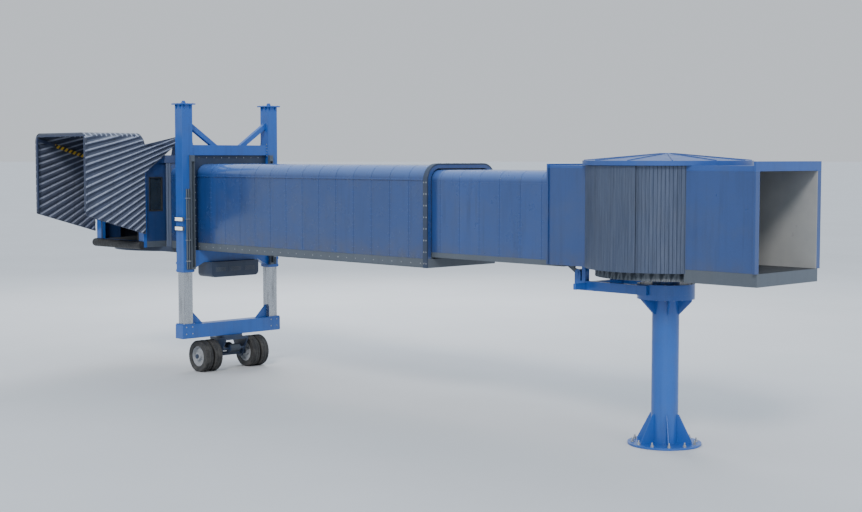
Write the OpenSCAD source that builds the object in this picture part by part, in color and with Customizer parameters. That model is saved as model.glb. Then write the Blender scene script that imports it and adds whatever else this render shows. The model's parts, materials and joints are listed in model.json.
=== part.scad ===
// Apron-drive passenger boarding bridge: a rotunda on a pedestal, two telescoping tunnels,
// a lift portal on a wheeled carriage, and a turning cab with a pleated canopy.
// +X runs along the tunnels to the cab, +Y is the side the cab faces, +Z is up.
// The origin is the centre of the pedestal's base plate, on the ground.

/* [Heights] */
// Height of the outer tunnel's underside above the ground
tunnel_base_z = 4000; // [3700:50:4500]
// Outer height of the outer tunnel
b_h = 2800; // [2700:20:3000]
// Top of the lift posts above the ground
post_top_z = 8700; // [8400:50:9200]

/* [Outer tunnel] */
// Outer width of the outer tunnel
b_w = 2600; // [2500:20:2700]
// Place of the outer tunnel's rear end along the bridge
b_rear_x = 7000; // [6900:50:7400]
// Thickness of the outer tunnel's walls
b_wall_t = 110; // [80:5:130]
// Thickness of the outer tunnel's roof
b_roof_t = 90; // [60:5:120]
// Depth of the outer tunnel's floor, with its beams
b_floor_t = 250; // [200:10:300]
// Radius of the outer tunnel's rounded eaves
b_eave_r = 420; // [300:10:500]
// Distance between the joints of the wall panels
panel_pitch = 760; // [600:20:1000]
// Depth of the joints between the panels
joint_depth = 8; // [4:1:12]

/* [Inner tunnel] */
// Clearance between the inner and the outer tunnel
tunnel_gap = 40; // [30:1:60]
// Length of the inner tunnel
a_len = 9500; // [9200:100:10000]
// Thickness of the inner tunnel's walls
a_wall_t = 100; // [70:5:120]
// Thickness of the inner tunnel's roof
a_roof_t = 80; // [50:5:100]
// Depth of the inner tunnel's floor, with its beams
a_floor_t = 140; // [120:5:180]
// Radius of the inner tunnel's rounded eaves
a_eave_r = 320; // [200:10:400]
// Length of the ramp from the inner to the outer floor
ramp_len = 900; // [600:50:1200]

/* [Rotunda] */
// Radius of the rotunda's floor
rot_r = 1900; // [1860:10:2000]
// Thickness of a slatted curtain
curtain_t = 30; // [20:1:35]
// Width of one slat
slat_w = 90; // [60:5:140]
// Thickness of the rotunda's floor plate
rot_floor_t = 100; // [60:5:140]
// Thickness of the rotunda's roof at its edge
rot_roof_t = 110; // [80:5:160]
// Swing of the tunnels to each side, in degrees
swing_deg = 30; // [20:1:30]
// Length of the fixed passage on the building side
passage_len = 1500; // [1200:50:2400]

/* [Pedestal] */
// Radius of the pedestal column
column_r = 330; // [290:5:360]
// Wall of the pedestal column
column_wall = 25; // [16:1:40]
// Radius of the base plate
base_r = 900; // [850:10:1000]
// Thickness of the base plate
base_t = 50; // [35:1:70]
// Diameter of the circle of anchor holes
anchor_pcd = 1560; // [1500:10:1600]
// Radius of an anchor hole
anchor_r = 22; // [15:1:26]
// Number of anchor holes
anchor_count = 12; // [8:2:16]

/* [Lift portal] */
// Distance from the cab's turning centre back to the lift portal
portal_back = 3000; // [2900:50:3600]
// Distance between the lift posts' centres
post_pitch = 3440; // [3300:10:3600]
// Width of a lift post
post_w = 400; // [360:5:460]
// Wall of a lift post
post_wall = 20; // [12:1:25]
// Bottom end of the lift posts above the ground
post_bottom_z = 3300; // [3150:50:3450]
// Height of the portal's cross beam
beam_h = 330; // [250:10:380]
// Underside of the cross beam above the tunnel's roof
beam_gap = 280; // [200:10:340]
// Run of a knee brace along the cross beam
brace_run = 1060; // [800:10:1150]
// Depth of the beam under the tunnel
under_beam_h = 400; // [300:10:450]

/* [Wheel carriage] */
// Width of a lift leg
leg_w = 330; // [300:5:340]
// Top of the lift legs above the ground
leg_top_z = 6400; // [6000:50:6800]
// Radius of a tyre
tyre_r = 520; // [460:5:560]
// Width of a tyre
tyre_w = 300; // [240:5:320]
// How far the load presses the tyres flat
tyre_press = 12; // [5:1:20]
// Distance between the centres of the two pairs of wheels
wheel_track = 1900; // [1800:10:2100]

/* [Cab] */
// Place of the cab's turning centre along the bridge
cab_x = 20900; // [20700:50:21400]
// Radius of the cab's round back
cab_r = 2050; // [2030:10:2120]
// Width of the cab's front part
cab_w = 2900; // [2800:20:2940]
// Distance from the turning centre to the cab's front frame
cab_front = 2150; // [2100:10:2400]
// Height of the cab's roof above the ground
cab_top_z = 7080; // [7000:10:7200]
// Heading of the cab from the tunnel's line, in degrees
cab_heading = 90; // [85:1:90]
// Width of the doorway in the front frame
doorway_w = 2200; // [1900:20:2400]
// Height of the doorway in the front frame
doorway_h = 2350; // [2200:10:2450]
// Height of a side window
window_h = 1100; // [900:20:1300]

/* [Canopy] */
// Reach of the canopy in front of the cab
canopy_reach = 2200; // [1600:20:2400]
// Height of the canopy's top above the ground
canopy_top_z = 7800; // [7600:10:7950]
// Thickness of the canopy's folded fabric
canopy_t = 70; // [50:5:90]

/* [Hidden] */
$fn = 180;
eps = 1;
// Clearance of a seat that slides or turns
seat = 0.3;
// Clearance between moving pieces that pass each other
run_gap = 10;
joint_w = 12;

b_top_z = tunnel_base_z + b_h;
b_floor_z = tunnel_base_z + b_floor_t;
b_spring_z = b_top_z - b_eave_r;
a_w = b_w - 2 * (b_wall_t + tunnel_gap);
a_base_z = b_floor_z + tunnel_gap;
a_top_z = b_top_z - b_roof_t - tunnel_gap;
a_floor_z = a_base_z + a_floor_t;
a_spring_z = a_top_z - a_eave_r;
edge_beam_w = 130;
cross_beam_w = 80;
deck_t = 60;
beam_spacing = 1400;
shoe_l = 400;
shoe_w = 120;
shoe_y = a_w / 2 - edge_beam_w / 2;
collar_l = 160;
collar_t = 45;

// The hood on the swing frame wraps the inner tunnel's rear end
hood_wall_t = 60;
hood_side_gap = 40;
hood_top_gap = 80;
hood_in = a_w + 2 * hood_side_gap;
hood_w = hood_in + 2 * hood_wall_t;
hood_top_z = a_top_z + hood_top_gap + hood_wall_t;
swing_curtain_r = rot_r + curtain_t + 15;
swing_out_r = swing_curtain_r + curtain_t;
curtain_lap_deg = 5;
passage_roof_t = 120;
passage_end_x = -(rot_r + passage_len);
passage_flange = 100;

// The pitch hinge of the inner tunnel
pitch_x = swing_out_r + 175;
pin_r = 45;
pin_gap = 0.1;
lug_t = 60;
lug_r = 85;
lug_gap = 10;
lug_y = 700;
ear_t = 40;
ear_r = 95;
pitch_z = a_base_z - 170;
a_rear_x = pitch_x + 150;
a_front_x = a_rear_x + a_len;
hood_front_x = pitch_x + 600;
hood_floor_end_x = a_rear_x - 50;

rot_base_z = a_floor_z - rot_floor_t;
rot_roof_z = hood_top_z + run_gap;
rot_roof_r = swing_out_r + 75;
rot_roof_rise = 180;
hood_half_deg = asin(hood_w / 2 / swing_curtain_r);
pass_half_deg = asin(hood_w / 2 / rot_r);

rib_h = 200;
rib_t = 30;
skirt_t = 20;
skirt_r = rot_r - 180;
column_top_z = rot_base_z - rib_h;
hub_h = 250;
hub_base_z = column_top_z - hub_h - 180;
hub_r = lug_y;
flange_h = 120;
yoke_w = 160;
yoke_h = hub_h - 20;
upright_l = 110;
upright_x = pitch_x - ear_r - upright_l - 45;

portal_x = cab_x - portal_back;
post_y = post_pitch / 2;
post_face_y = post_y - post_w / 2;
post_in = post_w - 2 * post_wall;
guide_h = 200;
beam_base_z = b_top_z + beam_gap;
beam_top_z = beam_base_z + beam_h;
beam_d = 320;
brace_top_z = post_top_z - 550;
brace_foot = 190;
brace_d = 150;
ring_t = 160;
cap_w = post_w + 150;
cap_t = 40;
dome_r = 70;
dome_h = 90;
under_base_z = tunnel_base_z - under_beam_h;
drive_box_h = 500;
drive_box_w = 1900;
drive_box_d = 760;
drive_box_r = 140;
trough_w = 140;
trough_d = 110;
pipe_r = 28;

head_h = 250;
axle_z = tyre_r - tyre_press;
carriage_beam_rise = 640;
carriage_beam_z = axle_z + carriage_beam_rise;
carriage_beam_h = 450;
carriage_beam_d = 420;
leg_base_z = carriage_beam_z + carriage_beam_h;
leg_gusset_h = 420;
leg_gusset_l = 480;
leg_gusset_tip = 60;
turn_r = 430;
turn_h = 90;
cheek_y = 420;
cheek_t = 50;
axle_r = 70;
rim_w = tyre_w - 60;
wheel_rim_r = tyre_r - 190;
shoulder_r = 45;
twin_gap = 60;
motor_r = 130;
motor_l = 420;

cab_floor_t = 200;
cab_floor_z = b_floor_z;
cab_base_z = cab_floor_z - cab_floor_t;
cab_roof_z = b_top_z + 30;
ceiling_t = 50;
roof_edge = 60;
cab_wall_t = 80;
cab_wall_back = 1390;
cab_half_deg = asin(cab_w / 2 / cab_r);
mouth_half_deg = asin(b_w / 2 / cab_r);
cab_turn_deg = 90;
rim_r = cab_r - 20;
rim_out_r = cab_r + 60;
rim_h = 150;
support_z = cab_base_z - rim_h - seat;
fixed_leaf_r = cab_r + 5;
cab_leaf_r = cab_r - 100;
cab_leaf_deg = 87;
slew_r = 700;
arm_y = 600;
arm_w = 180;
arm_drop = 100;
arm_reach = 1400;
spoke_w = 80;
window_x = cab_wall_back + 150;
window_l = cab_front - window_x - 110;
window_z = cab_floor_z + 1000;
pane_t = 10;
front_frame_t = 120;
bumper_h = 260;
bumper_d = 190;

canopy_x = cab_front + front_frame_t + seat;
canopy_w = cab_w + 2 * (roof_edge + canopy_t + seat);
canopy_slope = 120;
gusset_x = 1000;
gusset_rise = 600;
gusset_top_z = cab_top_z + gusset_rise;
gusset_tip_h = 200;
gusset_low_z = cab_roof_z - 330;
canopy_rear_z = cab_top_z + 330;
canopy_base_z = cab_floor_z + 250;
canopy_lip_z = cab_floor_z + 900;
bow_w = 50;
bow_set_back = 200;
bow_foot = 150;
bracket_l = 180;
swing_arm_h = 100;
swing_arm_low_z = cab_roof_z + ceiling_t / 2;
swing_arm_high_z = canopy_top_z - canopy_t - bow_w - swing_arm_h - 30;

// A box given by its lowest and highest corners
module block(low, high) {
    translate(low)
        cube(high - low);
}

// Draws a piece and its mirror image on the other side
module both_sides() {
    children();
    mirror([0, 1, 0])
        children();
}

// A sheet of thickness t that stands across Y, cut from a shape drawn in X and Z
module plate_y(y, t) {
    translate([0, y + t / 2, 0])
        rotate([90, 0, 0])
            linear_extrude(t)
                children();
}

// A bar along X whose section is drawn in Y and Z
module bar_x(from_x, to_x) {
    translate([from_x, 0, 0])
        rotate([90, 0, 90])
            linear_extrude(to_x - from_x)
                children();
}

// Places of the panel joints between two ends, about one pitch apart
function joint_places(from_x, to_x) =
    let (n = round((to_x - from_x) / panel_pitch))
    [for (i = [1 : n - 1]) from_x + i * (to_x - from_x) / n];

// The roof's section: a flat top between two quarter-round eaves, from 0 up to r
module eave_shape(w, r) {
    intersection() {
        union() {
            translate([-w / 2 + r, 0])
                square([w - 2 * r, r]);
            for (side = [-1, 1])
                translate([side * (w / 2 - r), 0])
                    circle(r);
        }
        translate([-w / 2, 0])
            square([w, r]);
    }
}

// The full section of a tunnel: straight sides below the eaves
module tunnel_section(w, base_z, top_z, r) {
    translate([0, top_z - r])
        eave_shape(w, r);
    translate([-w / 2, base_z])
        square([w, top_z - r - base_z + eps / 100]);
}

// A tunnel's roof with rounded eaves and the joints of its panels
module tunnel_roof(w, r, side_t, top_t, from_x, to_x, top_z) {
    difference() {
        bar_x(from_x, to_x)
            difference() {
                translate([0, top_z - r])
                    eave_shape(w, r);
                tunnel_section(w - 2 * side_t, top_z - r - eps, top_z - top_t, r - top_t);
            }
        for (x = joint_places(from_x, to_x))
            bar_x(x - joint_w / 2, x + joint_w / 2)
                difference() {
                    translate([0, top_z - r - eps])
                        square([2 * w, 3 * r], center = true);
                    tunnel_section(w - 2 * joint_depth, top_z - r - 2 * r, top_z - joint_depth, r - joint_depth);
                }
    }
}

// A tunnel's left wall: flush panels with narrow joints on the outside
module tunnel_wall(w, t, from_x, to_x, base_z, top_z) {
    difference() {
        block([from_x, w / 2 - t, base_z], [to_x, w / 2, top_z]);
        for (x = joint_places(from_x, to_x))
            block([x - joint_w / 2, w / 2 - joint_depth, base_z - eps],
                [x + joint_w / 2, w / 2 + eps, top_z + eps]);
    }
}

// A tunnel's floor: a deck on two edge beams and a row of cross beams
module tunnel_deck(w, from_x, to_x, base_z, top_z, cross_from_x) {
    spans = round((to_x - cross_from_x) / beam_spacing);
    block([from_x, -w / 2, top_z - deck_t], [to_x, w / 2, top_z]);
    both_sides()
        block([from_x, w / 2 - edge_beam_w, base_z], [to_x, w / 2, top_z - deck_t / 2]);
    for (i = [0 : spans])
        translate([cross_from_x + i * (to_x - cross_from_x - cross_beam_w) / spans, 0, 0])
            block([0, -w / 2 + edge_beam_w / 2, base_z], [cross_beam_w, w / 2 - edge_beam_w / 2, top_z - deck_t / 2]);
}

// A curved curtain of upright slats with a groove at each hinge, between two angles
module slat_curtain(r, from_deg, to_deg, low_z, high_z) {
    count = round((to_deg - from_deg) / (slat_w / r * 180 / PI));
    step = (to_deg - from_deg) / count;
    groove = step * 0.12;
    outside = [for (i = [0 : count - 1]) each [
        [from_deg + i * step, r + curtain_t - 8],
        [from_deg + i * step + groove, r + curtain_t],
        [from_deg + (i + 1) * step - groove, r + curtain_t]
    ]];
    inside = [for (i = [count : -1 : 0]) [from_deg + i * step, r + 1]];
    outline = [for (p = concat(outside, [[to_deg, r + curtain_t - 8]], inside)) [p[1] * cos(p[0]), p[1] * sin(p[0])]];
    translate([0, 0, low_z])
        linear_extrude(high_z - low_z)
            polygon(outline);
}

// Base plate with its circle of anchor holes
module base_plate() {
    color("steelblue")
        difference() {
            cylinder(r = base_r, h = base_t);
            for (i = [0 : anchor_count - 1])
                rotate([0, 0, (i + 0.5) * 360 / anchor_count])
                    translate([anchor_pcd / 2, 0, -eps])
                        cylinder(r = anchor_r, h = base_t + 2 * eps, $fn = 32);
        }
}

// Hollow pedestal column with its foot ribs, bearing flange and head brackets
module pedestal_column() {
    color("steelblue")
        difference() {
            union() {
                translate([0, 0, base_t])
                    cylinder(r = column_r, h = column_top_z - base_t);
                translate([0, 0, hub_base_z - flange_h])
                    cylinder(r = hub_r, h = flange_h - seat);
                for (i = [0 : 5])
                    rotate([0, 0, i * 60 + 15]) {
                        plate_y(0, 20)
                            foot_rib();
                        plate_y(0, 20)
                            head_bracket();
                    }
            }
            translate([0, 0, base_t - eps])
                cylinder(r = column_r - column_wall, h = column_top_z - base_t - 60);
        }
}

module foot_rib() {
    polygon([
        [column_r - column_wall / 2, base_t],
        [anchor_pcd / 2 - 70, base_t],
        [anchor_pcd / 2 - 70, base_t + 60],
        [column_r + 40, base_t + 700],
        [column_r - column_wall / 2, base_t + 700]
    ]);
}

module head_bracket() {
    head_z = hub_base_z - flange_h + eps;
    polygon([
        [column_r - column_wall / 2, head_z],
        [hub_r - 30, head_z],
        [hub_r - 30, head_z - 50],
        [column_r + 20, head_z - 380],
        [column_r - column_wall / 2, head_z - 380]
    ]);
}

// Round floor of the rotunda on radial ribs inside a skirt
module rotunda_floor() {
    color("lightslategray") {
        translate([0, 0, rot_base_z])
            cylinder(r = rot_r, h = rot_floor_t);
        translate([0, 0, column_top_z])
            difference() {
                cylinder(r = skirt_r, h = rib_h + eps);
                translate([0, 0, -eps])
                    cylinder(r = skirt_r - skirt_t, h = rib_h + 3 * eps);
            }
        translate([0, 0, column_top_z])
            cylinder(r = column_r + 60, h = rib_h + eps);
        for (i = [0 : 7])
            rotate([0, 0, i * 45 + 10])
                block([column_r, -rib_t / 2, column_top_z], [skirt_r - skirt_t / 2, rib_t / 2, rot_base_z + eps]);
    }
}

// Low conical roof of the rotunda with a drip edge and radial seams
module rotunda_roof() {
    seam_rise = atan(rot_roof_rise / rot_roof_r);
    color("slategray")
        translate([0, 0, rot_roof_z]) {
            rotate_extrude()
                polygon([
                    [0, 60],
                    [rot_roof_r - 140, 60],
                    [rot_roof_r - 120, 0],
                    [rot_roof_r, 0],
                    [rot_roof_r, rot_roof_t],
                    [0, rot_roof_t + rot_roof_rise]
                ]);
            for (i = [0 : 11])
                rotate([0, 0, i * 30 + 10])
                    translate([0, 0, rot_roof_t + rot_roof_rise])
                        rotate([0, seam_rise, 0])
                            block([150, -12, -20], [rot_roof_r - 30, 12, 18]);
        }
}

// Keeps only what lies outside the rotunda's drum
module outside_drum(r) {
    difference() {
        children();
        cylinder(r = r, h = rot_roof_z + 2000);
    }
}

module passage_floor() {
    color("lightslategray")
        outside_drum(rot_r)
            tunnel_deck(hood_w, passage_end_x, 0, rot_base_z - rib_h, a_floor_z, passage_end_x);
}

// Walls of the fixed passage, with the flange that meets the building
module passage_walls() {
    wall_top_z = rot_roof_z - passage_roof_t;
    color("slategray")
        both_sides() {
            outside_drum(rot_r)
                block([passage_end_x, hood_in / 2, a_floor_z], [0, hood_w / 2, wall_top_z]);
            block([passage_end_x, hood_w / 2 - eps, a_floor_z], [passage_end_x + 60, hood_w / 2 + passage_flange, wall_top_z]);
        }
}

module passage_roof() {
    color("slategray")
        outside_drum(rot_r) {
            block([passage_end_x, -hood_w / 2, rot_roof_z - passage_roof_t], [0, hood_w / 2, rot_roof_z]);
            block([passage_end_x, -hood_w / 2 - passage_flange, rot_roof_z - passage_roof_t],
                [passage_end_x + 60, hood_w / 2 + passage_flange, rot_roof_z + passage_flange]);
        }
}

// Fixed curtains from the passage round to where the swinging hood can reach
module fixed_curtains() {
    color("silver")
        both_sides()
            difference() {
                slat_curtain(rot_r, hood_half_deg + swing_deg + 1, 180 - pass_half_deg + 3, rot_base_z, rot_roof_z);
                block([-rot_r * 2, -hood_w / 2, 0], [0, hood_w / 2, rot_roof_z + eps]);
            }
}

// Yoke that turns on the column and carries the hood and the inner tunnel's hinge
module swing_yoke() {
    color("steelblue") {
        difference() {
            union() {
                translate([0, 0, hub_base_z])
                    cylinder(r = hub_r, h = hub_h);
                both_sides()
                    block([0, lug_y - yoke_w / 2, hub_base_z], [pitch_x + ear_r, lug_y + yoke_w / 2, hub_base_z + yoke_h]);
                block([upright_x - 100, -lug_y, hub_base_z + 20], [upright_x + 60, lug_y, hub_base_z + yoke_h - 20]);
                both_sides()
                    block([upright_x - 40, lug_y, hub_base_z + 40],
                        [upright_x + 40, hood_in / 2, hub_base_z + yoke_h - 40]);
            }
            translate([0, 0, hub_base_z - eps])
                cylinder(r = column_r + seat, h = hub_h + 2 * eps);
        }
        both_sides() {
            block([upright_x, lug_y - yoke_w / 2, hub_base_z + yoke_h - eps],
                [upright_x + upright_l, lug_y + yoke_w / 2, rot_base_z]);
            for (side = [-1, 1])
                plate_y(lug_y + side * (lug_t / 2 + lug_gap + ear_t / 2), ear_t)
                    yoke_ear();
            plate_y(lug_y, yoke_w + 40)
                translate([pitch_x, pitch_z])
                    circle(pin_r);
        }
    }
}

module yoke_ear() {
    translate([pitch_x, pitch_z])
        circle(ear_r);
    translate([pitch_x - ear_r, hub_base_z + yoke_h - eps])
        square([2 * ear_r, pitch_z - hub_base_z - yoke_h + eps]);
}

module hood_floor() {
    color("lightslategray")
        outside_drum(swing_curtain_r)
            block([0, -hood_in / 2, rot_base_z], [hood_floor_end_x, hood_in / 2, a_floor_z]);
}

// Walls of the hood with a stiffening flange at the front edge
module hood_walls() {
    wall_top_z = hood_top_z - hood_wall_t;
    color("slategray")
        both_sides()
            outside_drum(swing_curtain_r) {
                block([0, hood_in / 2, rot_base_z], [hood_front_x, hood_w / 2, wall_top_z]);
                block([hood_front_x - 50, hood_w / 2 - eps, rot_base_z], [hood_front_x, hood_w / 2 + 40, wall_top_z]);
            }
}

module hood_roof() {
    color("slategray")
        outside_drum(swing_curtain_r) {
            block([0, -hood_w / 2, hood_top_z - hood_wall_t], [hood_front_x, hood_w / 2, hood_top_z]);
            block([hood_front_x - 50, -hood_w / 2 - 40, hood_top_z - hood_wall_t],
                [hood_front_x, hood_w / 2 + 40, hood_top_z + 40]);
        }
}

// Curtains that swing with the hood, outside the fixed ones
module swing_curtains() {
    color("silver")
        both_sides()
            difference() {
                slat_curtain(swing_curtain_r, hood_half_deg - 3, hood_half_deg + 2 * swing_deg + curtain_lap_deg,
                    rot_base_z, hood_top_z);
                block([-eps, -hood_w / 2, 0], [rot_r * 2, hood_w / 2, rot_roof_z + eps]);
            }
}

// Floor of the inner tunnel with its hinge lugs, slide shoes and the ramp at its end
module inner_floor() {
    color("lightslategray") {
        tunnel_deck(a_w, a_rear_x, a_front_x, a_base_z, a_floor_z, a_rear_x);
        both_sides() {
            inner_lug();
            block([a_front_x - shoe_l - 200, shoe_y - shoe_w / 2, b_floor_z + seat],
                [a_front_x - 200, shoe_y + shoe_w / 2, a_base_z + eps]);
        }
        plate_y(0, a_w - 2 * a_wall_t)
            polygon([
                [a_front_x - eps, a_floor_z],
                [a_front_x + 60, a_floor_z],
                [a_front_x + ramp_len, b_floor_z + 15],
                [a_front_x + ramp_len, b_floor_z + 5],
                [a_front_x + ramp_len - 150, b_floor_z + 5],
                [a_front_x - eps, a_floor_z - 50]
            ]);
    }
}

module inner_lug() {
    difference() {
        plate_y(lug_y, lug_t) {
            translate([pitch_x, pitch_z])
                circle(lug_r);
            polygon([
                [pitch_x - 30, pitch_z + 70],
                [pitch_x + 10, pitch_z - 80],
                [a_rear_x + 350, a_base_z + deck_t],
                [a_rear_x, a_base_z + deck_t],
                [a_rear_x, pitch_z + 110]
            ]);
        }
        plate_y(lug_y, 2 * lug_t)
            translate([pitch_x, pitch_z])
                circle(pin_r + pin_gap);
    }
}

module inner_walls() {
    color("slategray")
        both_sides()
            tunnel_wall(a_w, a_wall_t, a_rear_x, a_front_x, a_floor_z, a_spring_z);
}

module inner_roof() {
    color("slategray")
        tunnel_roof(a_w, a_eave_r, a_wall_t, a_roof_t, a_rear_x, a_front_x, a_top_z);
}

// Keeps only what lies outside the cab's drum
module before_cab(r) {
    difference() {
        children();
        translate([cab_x, 0, 0])
            cylinder(r = r, h = cab_top_z + 2000);
    }
}

// Floor of the outer tunnel with the shoes that carry the inner tunnel
module outer_floor() {
    color("lightslategray") {
        before_cab(rim_r)
            tunnel_deck(b_w, b_rear_x, cab_x, tunnel_base_z, b_floor_z, b_rear_x);
        both_sides()
            block([b_rear_x + 50, shoe_y - shoe_w / 2, b_floor_z - deck_t / 2],
                [b_rear_x + 50 + shoe_l, shoe_y + shoe_w / 2, a_base_z - seat]);
    }
}

module outer_walls() {
    color("slategray")
        both_sides()
            before_cab(fixed_leaf_r)
                tunnel_wall(b_w, b_wall_t, b_rear_x, cab_x, b_floor_z, b_spring_z);
}

module outer_roof() {
    color("slategray")
        before_cab(fixed_leaf_r)
            tunnel_roof(b_w, b_eave_r, b_wall_t, b_roof_t, b_rear_x, cab_x, b_top_z);
}

// Collar round the outer tunnel's rear end
module outer_collars() {
    color("darkslategray")
        bar_x(b_rear_x, b_rear_x + collar_l)
            difference() {
                tunnel_section(b_w + 2 * collar_t, tunnel_base_z, b_top_z + collar_t, b_eave_r + collar_t);
                tunnel_section(b_w + 2 * seat, tunnel_base_z - eps, b_top_z + seat, b_eave_r + seat);
            }
}

// Hollow lift posts with the guides of the legs at their lower ends
module lift_posts() {
    color("royalblue")
        both_sides()
            translate([portal_x, post_y, 0])
                difference() {
                    block([-post_w / 2, -post_w / 2, post_bottom_z], [post_w / 2, post_w / 2, post_top_z]);
                    block([-post_in / 2, -post_in / 2, post_bottom_z + guide_h], [post_in / 2, post_in / 2, post_top_z + eps]);
                    block([-leg_w / 2 - seat, -leg_w / 2 - seat, post_bottom_z - eps],
                        [leg_w / 2 + seat, leg_w / 2 + seat, post_bottom_z + guide_h + eps]);
                }
}

// Cap plates of the posts on small brackets, with the domes of the lifting screws
module post_caps() {
    color("royalblue")
        both_sides()
            translate([portal_x, post_y, post_top_z]) {
                block([-cap_w / 2, -cap_w / 2, 0], [cap_w / 2, cap_w / 2, cap_t]);
                translate([0, 0, cap_t - eps])
                    cylinder(r = dome_r, h = dome_h - dome_r / 2);
                translate([0, 0, cap_t + dome_h - dome_r / 2 - 2 * eps])
                    cylinder(r = dome_r * 0.7, h = dome_r / 2);
            }
}

// Cross beam over the tunnel with a knee brace at each post
module portal_beam() {
    color("royalblue")
        translate([portal_x, 0, 0]) {
            block([-beam_d / 2, -post_face_y, beam_base_z], [beam_d / 2, post_face_y, beam_top_z]);
            both_sides()
                bar_x(-brace_d / 2, brace_d / 2)
                    polygon([
                        [post_face_y, brace_top_z],
                        [post_face_y, brace_top_z - brace_foot],
                        [post_face_y - brace_run + 260, beam_top_z - eps],
                        [post_face_y - brace_run, beam_top_z - eps]
                    ]);
        }
}

// Frame round the tunnel that ties it to the posts and the cross beam
module portal_ring() {
    color("darkslategray")
        bar_x(portal_x - ring_t / 2, portal_x + ring_t / 2)
            difference() {
                translate([-post_face_y, tunnel_base_z])
                    square([2 * post_face_y, beam_base_z - tunnel_base_z]);
                tunnel_section(b_w + 2 * seat, tunnel_base_z - eps, b_top_z + seat, b_eave_r + seat);
            }
}

// Beam under the tunnel that ties the two posts, with a stiffening haunch at each end
module under_beam() {
    color("royalblue")
        bar_x(portal_x - beam_d / 2, portal_x + beam_d / 2)
            polygon([
                [-post_face_y, tunnel_base_z],
                [post_face_y, tunnel_base_z],
                [post_face_y, post_bottom_z + 80],
                [post_face_y - 420, under_base_z],
                [-post_face_y + 420, under_base_z],
                [-post_face_y, post_bottom_z + 80]
            ]);
}

// Housing of the lift and steering drives, hung under the beam
module drive_box() {
    low_z = under_base_z - drive_box_h;
    color("darkslategray")
        bar_x(portal_x - drive_box_d / 2, portal_x + drive_box_d / 2)
            union() {
                translate([-drive_box_w / 2, low_z + drive_box_r])
                    square([drive_box_w, drive_box_h - drive_box_r]);
                translate([-drive_box_w / 2 + drive_box_r, low_z])
                    square([drive_box_w - 2 * drive_box_r, drive_box_r + eps]);
                for (side = [-1, 1])
                    translate([side * (drive_box_w / 2 - drive_box_r), low_z + drive_box_r])
                        circle(drive_box_r);
            }
}

// Cable trough and two pipes up the rear of each post's inner side
module cable_troughs() {
    rear_x = portal_x - post_w / 2;
    color("slategray")
        both_sides() {
            difference() {
                block([rear_x - trough_d, post_face_y, post_bottom_z + 100],
                    [rear_x, post_face_y + trough_w, beam_base_z]);
                block([rear_x - trough_d - eps, post_face_y + 15, post_bottom_z + 160],
                    [rear_x - 15, post_face_y + trough_w - 15, beam_base_z - 200]);
            }
            for (i = [0, 1])
                translate([rear_x - pipe_r, post_face_y + trough_w + 50 + i * 80, post_bottom_z + 100])
                    cylinder(r = pipe_r, h = 2600);
        }
}

// Pair of lamps on the rear of each post
module work_lamps() {
    rear_x = portal_x - post_w / 2;
    lamp_y = post_y + post_w / 2;
    color("ivory")
        both_sides()
            for (z = [b_floor_z + 420, b_floor_z + 720])
                block([rear_x - 60, lamp_y, z], [portal_x + post_w / 2 - 40, lamp_y + 70, z + 110]);
}

// Ring under the cab with the arms that hold it to the outer tunnel
module cab_support() {
    color("darkslategray")
        translate([cab_x, 0, support_z]) {
            difference() {
                cylinder(r = rim_out_r, h = rim_h);
                translate([0, 0, -eps])
                    cylinder(r = rim_r, h = rim_h + 2 * eps);
                block([-2 * cab_r, -b_w / 2, -eps], [0, b_w / 2, rim_h + eps]);
            }
            cylinder(r = slew_r, h = rim_h);
            both_sides()
                block([portal_x + beam_d / 2 - cab_x, arm_y - arm_w / 2, -arm_drop],
                    [arm_reach, arm_y + arm_w / 2, tunnel_base_z - support_z]);
            for (i = [0 : 3])
                rotate([0, 0, i * 90 + 45])
                    block([slew_r - 20, -spoke_w / 2, 0], [rim_r + 10, spoke_w / 2, rim_h - 30]);
        }
}

// Curtains of the cab's drum that stay with the tunnel: a strip on the left, a leaf on the right
module cab_fixed_curtain() {
    low_z = support_z + rim_h;
    high_z = cab_roof_z - run_gap;
    left_deg = cab_heading + cab_half_deg + 1.5;
    right_end_deg = 360 + cab_heading - cab_turn_deg - cab_half_deg - 4;
    color("silver")
        difference() {
            translate([cab_x, 0, 0]) {
                slat_curtain(fixed_leaf_r, left_deg, 180 - mouth_half_deg + 3, low_z, high_z);
                slat_curtain(fixed_leaf_r, 180 + mouth_half_deg - 3, right_end_deg, low_z, high_z);
            }
            block([b_rear_x, -b_w / 2, 0], [cab_x, b_w / 2, cab_top_z]);
        }
}

// Pair of square legs that slide in the lift posts
module lift_legs() {
    color("lightsteelblue")
        both_sides()
            translate([portal_x, post_y, 0]) {
                block([-leg_w / 2, -leg_w / 2, leg_base_z], [leg_w / 2, leg_w / 2, leg_top_z]);
                block([-post_in / 2 + seat, -post_in / 2 + seat, leg_top_z - head_h],
                    [post_in / 2 - seat, post_in / 2 - seat, leg_top_z]);
            }
}

// Beam across the carriage, with end plates under the legs and haunches beside them
module carriage_beam() {
    beam_end_y = post_y + post_w / 2 + 60;
    color("royalblue") {
        block([portal_x - carriage_beam_d / 2, -beam_end_y, carriage_beam_z],
            [portal_x + carriage_beam_d / 2, beam_end_y, leg_base_z]);
        both_sides()
            bar_x(portal_x - 15, portal_x + 15)
                polygon([
                    [post_y - leg_w / 2, leg_base_z - eps],
                    [post_y - leg_w / 2, leg_base_z + leg_gusset_h],
                    [post_y - leg_w / 2 - leg_gusset_tip, leg_base_z + leg_gusset_h],
                    [post_y - leg_w / 2 - leg_gusset_l, leg_base_z - eps]
                ]);
    }
}

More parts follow.
